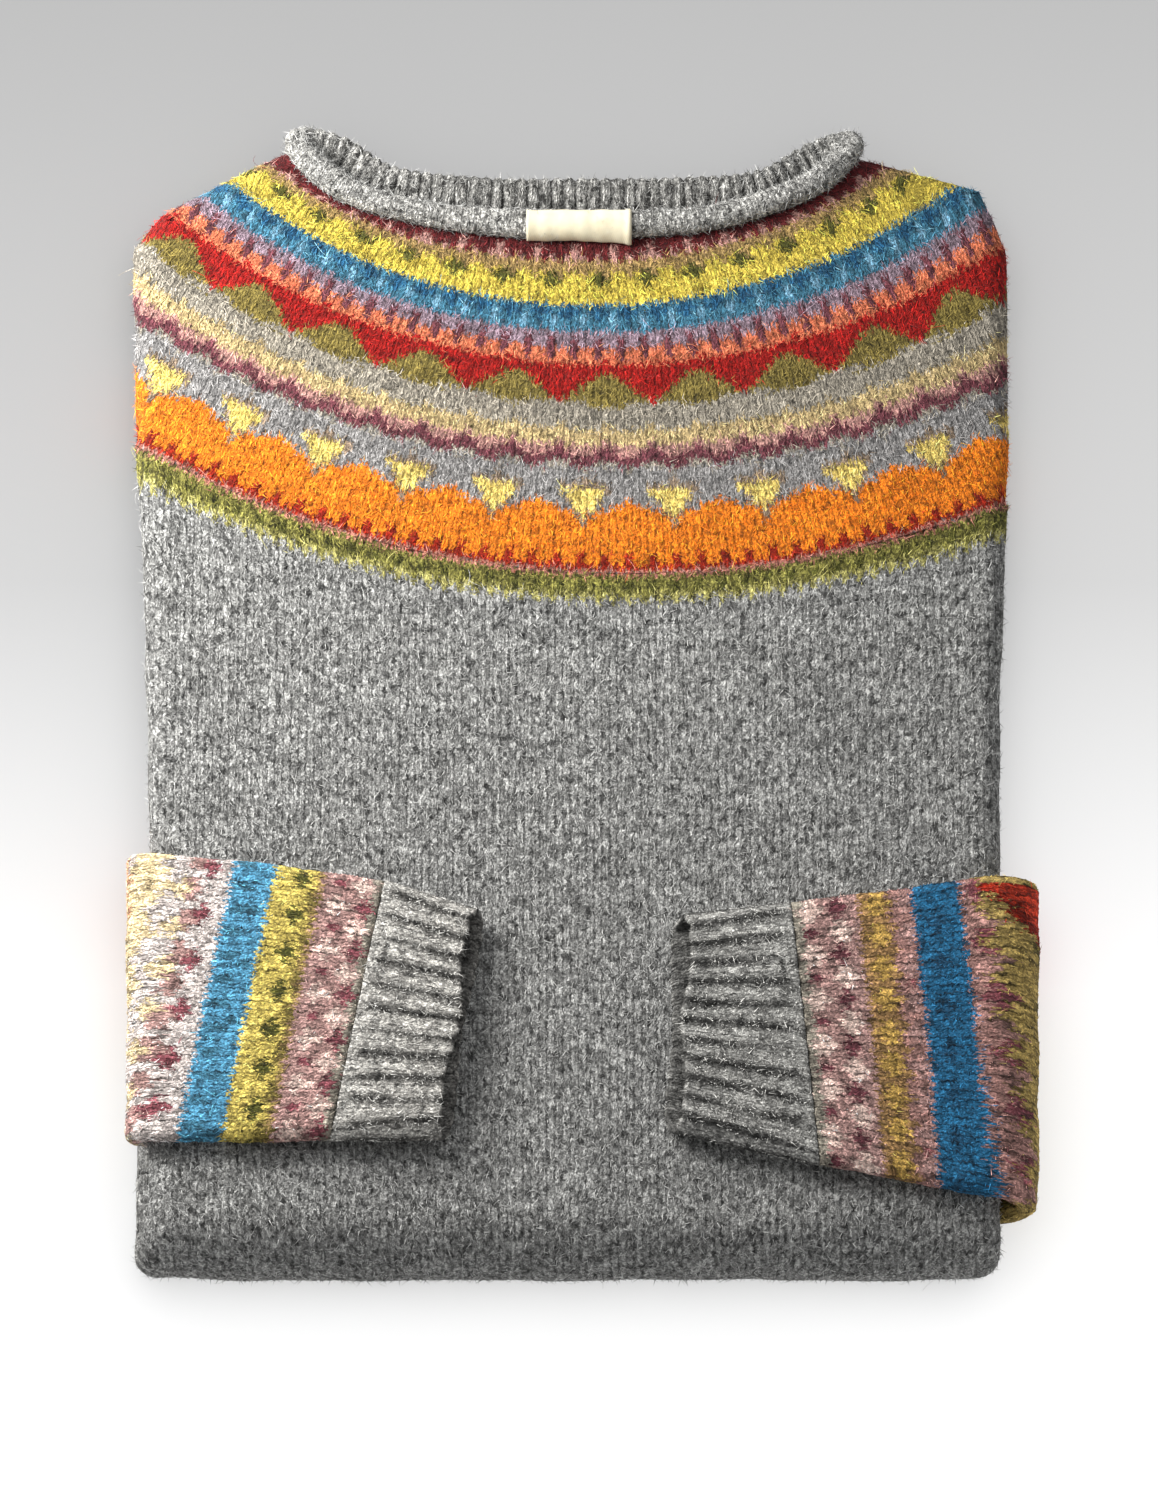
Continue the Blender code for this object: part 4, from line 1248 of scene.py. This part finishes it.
def back_layers_surface():
    """The back and the folded sides, two rounded layers high."""
    sides, necks, lows = 260, 150, 120
    rings = np.array([back_ring(inside, rise, sides, necks, lows) for _, inside, rise in BACK_RINGS])
    shares = BACK_RINGS[:, 0].copy()
    rings[..., 2] *= shares[:, None]
    key = np.concatenate([[0.0], np.cumsum(np.maximum(np.diff(shares), 0.02))])
    fine = np.linspace(0, key[-1], 26)
    rings = np.apply_along_axis(lambda heights: np.interp(fine, key, heights), 0, rings)
    count = rings.shape[1]
    ahead = np.linalg.norm(np.diff(rings[0, :, :2], axis=0, append=rings[0, :1, :2]), axis=1)
    wale = np.concatenate([[0.0], np.cumsum(ahead)]) / STITCH
    course = np.linspace(0, 13, len(rings))
    knit = np.stack(np.broadcast_arrays(wale[None, :], course[:, None]), -1)
    x, y = rings[..., 0] + rings[..., 1], rings[..., 2] * 4
    height = knit_relief(knit[:, :-1], 0.25) + 0.8 * wobble(x, y, 60.0, 60) + 0.4 * wobble(x, y, 20.0, 61)
    hold = np.clip(np.linspace(0, 1, len(rings)) * 8, 0, 1)[:, None]
    rings = on_floor(raised(rings, height * hold))
    rings[0, :, 2] = 0.0
    faces = []
    pairs = sides - 60
    for start, turn in ((0, -1), ((len(rings) - 1) * count, 1)):
        right = [start + lows + index for index in range(sides)]
        left = [start + count - 1 - index for index in range(sides)]
        low = [start + index for index in range(lows)]
        faces.append((low + [right[0], left[0]])[::turn])
        for index in range(pairs - 1):
            faces.append([left[index], right[index], right[index + 1], left[index + 1]][::turn])
        neck = [start + lows + sides + index for index in range(necks)]
        faces.append(([left[pairs - 1]] + right[pairs - 1 :] + neck + left[: pairs - 1 : -1])[::turn])
    flat = rings.reshape(-1, 3)[:, :2] / STITCH
    caps = [(face, flat[face]) for face in faces]
    return rings, stacked_knit(knit), caps


def counted(courses, count, wales):
    """Knit coordinates of closed rings, with so many wales from each point to the next."""
    course, wale = np.meshgrid(courses, np.arange(count + 1) * wales, indexing="ij")
    return np.stack([wale, course], -1)


def filling_mesh():
    """What lies inside the slab, from the neck round the bottom fold to the hem."""
    inset, under_steps, edge_steps = WALL + 0.9, 30, 10
    stretches = (np.linspace(4, 440, 50), np.linspace(450, 530, 24), np.linspace(536, 598, 5))
    distances = np.concatenate(stretches)
    panel = Panel(distances, under_steps, edge_steps)
    spots = panel.spots + panel.outward * -inset
    under = panel.spots[:, edge_steps : edge_steps + under_steps + 1].copy()
    under[..., 2] = SLAB
    ring = on_floor(np.concatenate([place(spots), place(under)[:, ::-1]], axis=1), 0.1)
    count = ring.shape[1]
    knit = counted(distances / COURSE, count, 2.0)
    caps = []
    for start, turn in ((0, 1), ((len(distances) - 1) * count, -1)):
        ends = [start + index for index in range(count)]
        left, right = edge_steps, edge_steps + under_steps
        faces = [ends[: left + 1] + ends[-1:], ends[right : right + edge_steps + 2]]
        for step in range(under_steps):
            top = left + step
            faces.append([ends[top], ends[top + 1], ends[-2 - step], ends[-1 - step]])
        caps += [(face[::turn], ring.reshape(-1, 3)[face[::turn], :2] / STITCH) for face in faces]
    return grid_mesh("filling", ring, stacked_knit(knit), closed=True, caps=caps)


def middle_mesh():
    """The layers between the front and the hem part, rounded at both sides."""
    rows_y = np.linspace(FOLD_Y + 3, 60.0, 24)
    rings = []
    for y in rows_y:
        low, high = POCKET_FLOOR - 1, float(top_height(y)) - SLAB + 2.0
        ring = stadium(300.0, high - low, 24, 12)
        x = ring[:, 0] - 2.0
        rings.append(np.column_stack([x, np.full(len(ring), y), (low + high) / 2 + ring[:, 1]]))
    rings = np.array(rings)
    count = rings.shape[1]
    knit = counted(rows_y / COURSE, count, 1.3)
    caps = []
    for start, turn in ((0, -1), ((len(rings) - 1) * count, 1)):
        face = [start + index for index in range(count)][::turn]
        caps.append((face, rings.reshape(-1, 3)[face][:, [0, 2]] / STITCH))
    return grid_mesh("middle", rings, stacked_knit(knit), closed=True, caps=caps)


def joined_meshes(name, meshes):
    """Several meshes in one, in the order given."""
    objects = [bpy.data.objects.new(mesh.name, mesh) for mesh in meshes]
    for obj in bpy.context.view_layer.objects:
        obj.select_set(False)
    for obj in objects:
        bpy.context.scene.collection.objects.link(obj)
        obj.select_set(True)
    bpy.context.view_layer.objects.active = objects[0]
    bpy.ops.object.join()
    joined = objects[0].data
    joined.name = name
    bpy.data.objects.remove(objects[0])
    return joined


# ---------------------------------------------------------------- the garment


def spread(start, end, step):
    return np.linspace(start, end, max(int(round((end - start) / step)), 1) + 1)


def add_front(name, panel, look, finish, slot, node, chart, ground, fibres):
    """A stretch of the front with its nap and its stray hairs, as (cloth, fibres)."""
    depth, seed = look
    points, knit = panel_surface(panel, depth, seed)
    cloth = add_piece(name + "_knit", grid_mesh(name + "_knit", points, knit), finish, slot, node)
    surface = (points, knit, False)
    fuzz = nap(name + "_nap", surface, chart, ground, fibres, slot, seed + 1)
    long = strays(name + "_hairs", surface, chart, ground, 500, slot, seed + 2)
    return cloth, [fuzz, long]


def build_front(finishes):
    """The yoke, the body and the hem, one after another down the front and round the bottom fold."""
    yoke = Panel(spread(YOKE_START, YOKE_DEPTH, COURSE / 2), FACE_STEPS, EDGE_STEPS)
    made, fibres = add_front("yoke", yoke, (0.36, 10), finishes["yoke"], "yoke_pattern", "front_yoke",
                             YOKE_CHART, "slate", 30000)

    fold = NECK_SEAM_Y - FOLD_Y
    courses = np.concatenate([
        spread(YOKE_DEPTH, GREEN_END + 2, COURSE / 2),
        spread(GREEN_END + 2 + COURSE, fold + 40, COURSE)[:-1],
        spread(fold + 40, NECK_SEAM_Y - HEM_START, COURSE * 2),
    ])
    body = Panel(courses, FACE_STEPS, EDGE_STEPS)
    made, fibres = add_front("body", body, (0.3, 20), finishes["body"], "grey_wool", "front_body",
                             BODY_CHART, "heather", 44000)

    courses = spread(NECK_SEAM_Y - HEM_START + 0.8, NECK_SEAM_Y - HEM_END, COURSE)
    hem = Panel(courses, HEM_FACE_STEPS, HEM_EDGE_STEPS)
    knit = panel_knit(hem)
    rows = row_knit(knit)
    height = 0.9 * (rib_relief(rows[..., 0] / 2) - 1.0)
    spots, lipped = with_lips(hem.spots, hem.outward, height, knit)
    mesh = grid_mesh("hem_knit", on_floor(place(spots)), lipped)
    made = add_piece("hem_knit", mesh, finishes["hem"], "grey_rib", "hem_rib")


def build_layers(finishes):
    """The back, the filling and the middle layers, which stay one piece."""
    rings, knit, caps = back_layers_surface()
    back = grid_mesh("back_layers", rings, knit, closed=True, caps=caps)
    whole = joined_meshes("layers_knit", [back, filling_mesh(), middle_mesh()])
    add_piece("layers_knit", whole, finishes["layers"], "grey_wool", "folded_layers")
    nap("layers_nap", (rings[:20], knit[:19], True), (), "heather", 5000, "grey_wool", 31)


def build_neck(finishes):
    """The neckband all round, and the bare tape over its front."""
    points, knit, painted_shade = neckband_surface()
    mesh = grid_mesh("neckband_knit", points, knit, painted_shade=painted_shade)
    made = add_piece("neckband_knit", mesh, finishes["neckband"], "grey_rib", "neckband")
    fuzz = nap("neckband_nap", (points, knit, False), (), "heather", 8000, "grey_rib", 32, lift=0.4)
    tag = add_piece("label_cloth", label_mesh(), finishes["tape"], "label_tape", "label")


def build_sleeves(finishes):
    """Both sleeves round the side folds, each with its ribbed cuff."""
    for number, side in enumerate(SIDES):
        rings, knit = sleeve_surface(side)
        mesh = grid_mesh("sleeve_knit_" + side, rings, knit, closed=True)
        finish, node = finishes["sleeve_" + side], "sleeve_" + side
        made = add_piece("sleeve_knit_" + side, mesh, finish, "sleeve_pattern", node)
        surface, chart = (rings, knit, True), SLEEVE_CHARTS[side]
        fuzz = nap("sleeve_nap_" + side, surface, chart, "stone", 9000, "sleeve_pattern", 33 + number)

        rings, knit, painted_shade = cuff_surface(side)
        mesh = grid_mesh("cuff_knit_" + side, rings, knit, closed=True, painted_shade=painted_shade)
        made = add_piece("cuff_knit_" + side, mesh, finishes["cuff_" + side], "grey_rib", "cuff_" + side)
        outside = (rings[:CUFF_RINGS], knit[: CUFF_RINGS - 1], True)
        fuzz = nap("cuff_nap_" + side, outside, (), "ash", 5000, "grey_rib", 36 + number)


def pale_floor():
    """A floor, white near the hem and grey towards the neck; the grey is painted shade in place of light
    falling off.
    """
    bpy.ops.mesh.primitive_plane_add(size=8, location=(0, 0, 0))
    floor = bpy.context.object
    floor.name = "floor"
    made, graph, shader = shader_of("pale_floor", 0.9, 0.0, gloss=0.1)
    spot = graph.node("ShaderNodeTexCoord").outputs["Object"]
    away = graph.node("ShaderNodeSeparateXYZ", {0: spot}).outputs[1]
    white, grey, far_grey = ((value, value, value, 1) for value in (0.95, 0.62, 0.46))
    # Painted shade: the floor's colour darkens towards the back, as light falling off would.
    near_painted_falloff = graph.blend(white, grey, graph.between(away, -0.13, 0.06))
    painted_falloff = graph.blend(near_painted_falloff, far_grey, graph.between(away, 0.06, 0.36))
    graph.feed(shader, {"Base Color": painted_falloff})
    floor.data.materials.append(made)
    return floor


def lamp(name, kind, location, energy, colour, receivers, **settings):
    """A light that falls on the receivers only."""
    data = bpy.data.lights.new(name, kind)
    data.energy = energy
    data.color = colour
    for label, value in settings.items():
        setattr(data, label, value)
    made = bpy.data.objects.new(name, data)
    made.location = location
    made.rotation_euler = (Vector((0, 0, 0.02)) - made.location).to_track_quat("-Z", "Y").to_euler()
    bpy.context.scene.collection.objects.link(made)
    lit = bpy.data.collections.new(name + "_lit")
    for obj in receivers:
        lit.objects.link(obj)
    made.light_linking.receiver_collection = lit


def build_lights(pieces, floor):
    """Soft light from the upper left for the wool, and a floor that takes hardly any shadow."""
    warm, cool, white, wide = (1.0, 0.985, 0.96), (0.96, 0.98, 1.0), (1, 1, 1), math.radians(70)
    lamp("key", "AREA", (-0.52, 0.3, 0.42), 12.8, warm, pieces, shape="DISK", size=0.42)
    lamp("fill", "AREA", (0.3, 0.9, 2.2), 9.0, cool, pieces, shape="DISK", size=1.6)
    lamp("floor_light", "SUN", (0.0, 0.0, 3.0), 0.4, white, [floor], angle=wide)
    lamp("floor_glow", "SUN", (0.1, 0.0, 3.0), 1.65, white, [floor], angle=wide, use_shadow=False)
    world = bpy.data.worlds.new("studio")
    world.use_nodes = True
    background = world.node_tree.nodes["Background"]
    background.inputs["Color"].default_value = (1, 1, 1, 1)
    background.inputs["Strength"].default_value = 0.5
    bpy.context.scene.world = world


def build_camera():
    """The camera, above the hem and looking down at the front."""
    data = bpy.data.cameras.new("camera")
    data.sensor_fit = "VERTICAL"
    data.sensor_height = SENSOR
    data.lens = LENS
    data.clip_start = 0.1
    data.clip_end = 50.0
    camera = bpy.data.objects.new("camera", data)
    away = Vector((0.0, -math.cos(ELEVATION), math.sin(ELEVATION)))
    camera.location = Vector(CAMERA_TARGET) + CAMERA_DISTANCE * away
    camera.rotation_euler = (math.radians(90) - ELEVATION, 0.0, 0.0)
    bpy.context.scene.collection.objects.link(camera)
    bpy.context.scene.camera = camera
    bpy.context.scene.view_settings.view_transform = "Standard"


def main():
    # In each wool, depth is the strength of the painted shade in its grooves.
    finishes = {
        "yoke": wool("yoke_wool", "slate", YOKE_CHART, heather=0.45, depth=0.7),
        "body": wool("body_wool", "heather", BODY_CHART, heather=0.7, depth=0.75),
        "hem": wool("hem_wool", "heather", heather=0.6),
        "layers": wool("layer_wool", "heather", heather=0.6),
        "neckband": wool("neckband_wool", "ash", heather=0.75),
        # The left cuff takes the lighter copy of the ash rib yarn: painted light on the lit side.
        "cuff_left": wool("cuff_wool_left", "lit_ash", heather=0.65),
        "cuff_right": wool("cuff_wool_right", "ash", heather=0.65),
        "tape": tape(),
    }
    for side, chart in SLEEVE_CHARTS.items():
        finishes["sleeve_" + side] = wool("sleeve_wool_" + side, "stone", chart, heather=0.55, depth=0.95)
    build_front(finishes)
    build_layers(finishes)
    build_neck(finishes)
    build_sleeves(finishes)
    pieces = [obj for obj in bpy.context.scene.collection.objects if obj.type == "MESH"]
    build_lights(pieces, pale_floor())
    build_camera()


main()
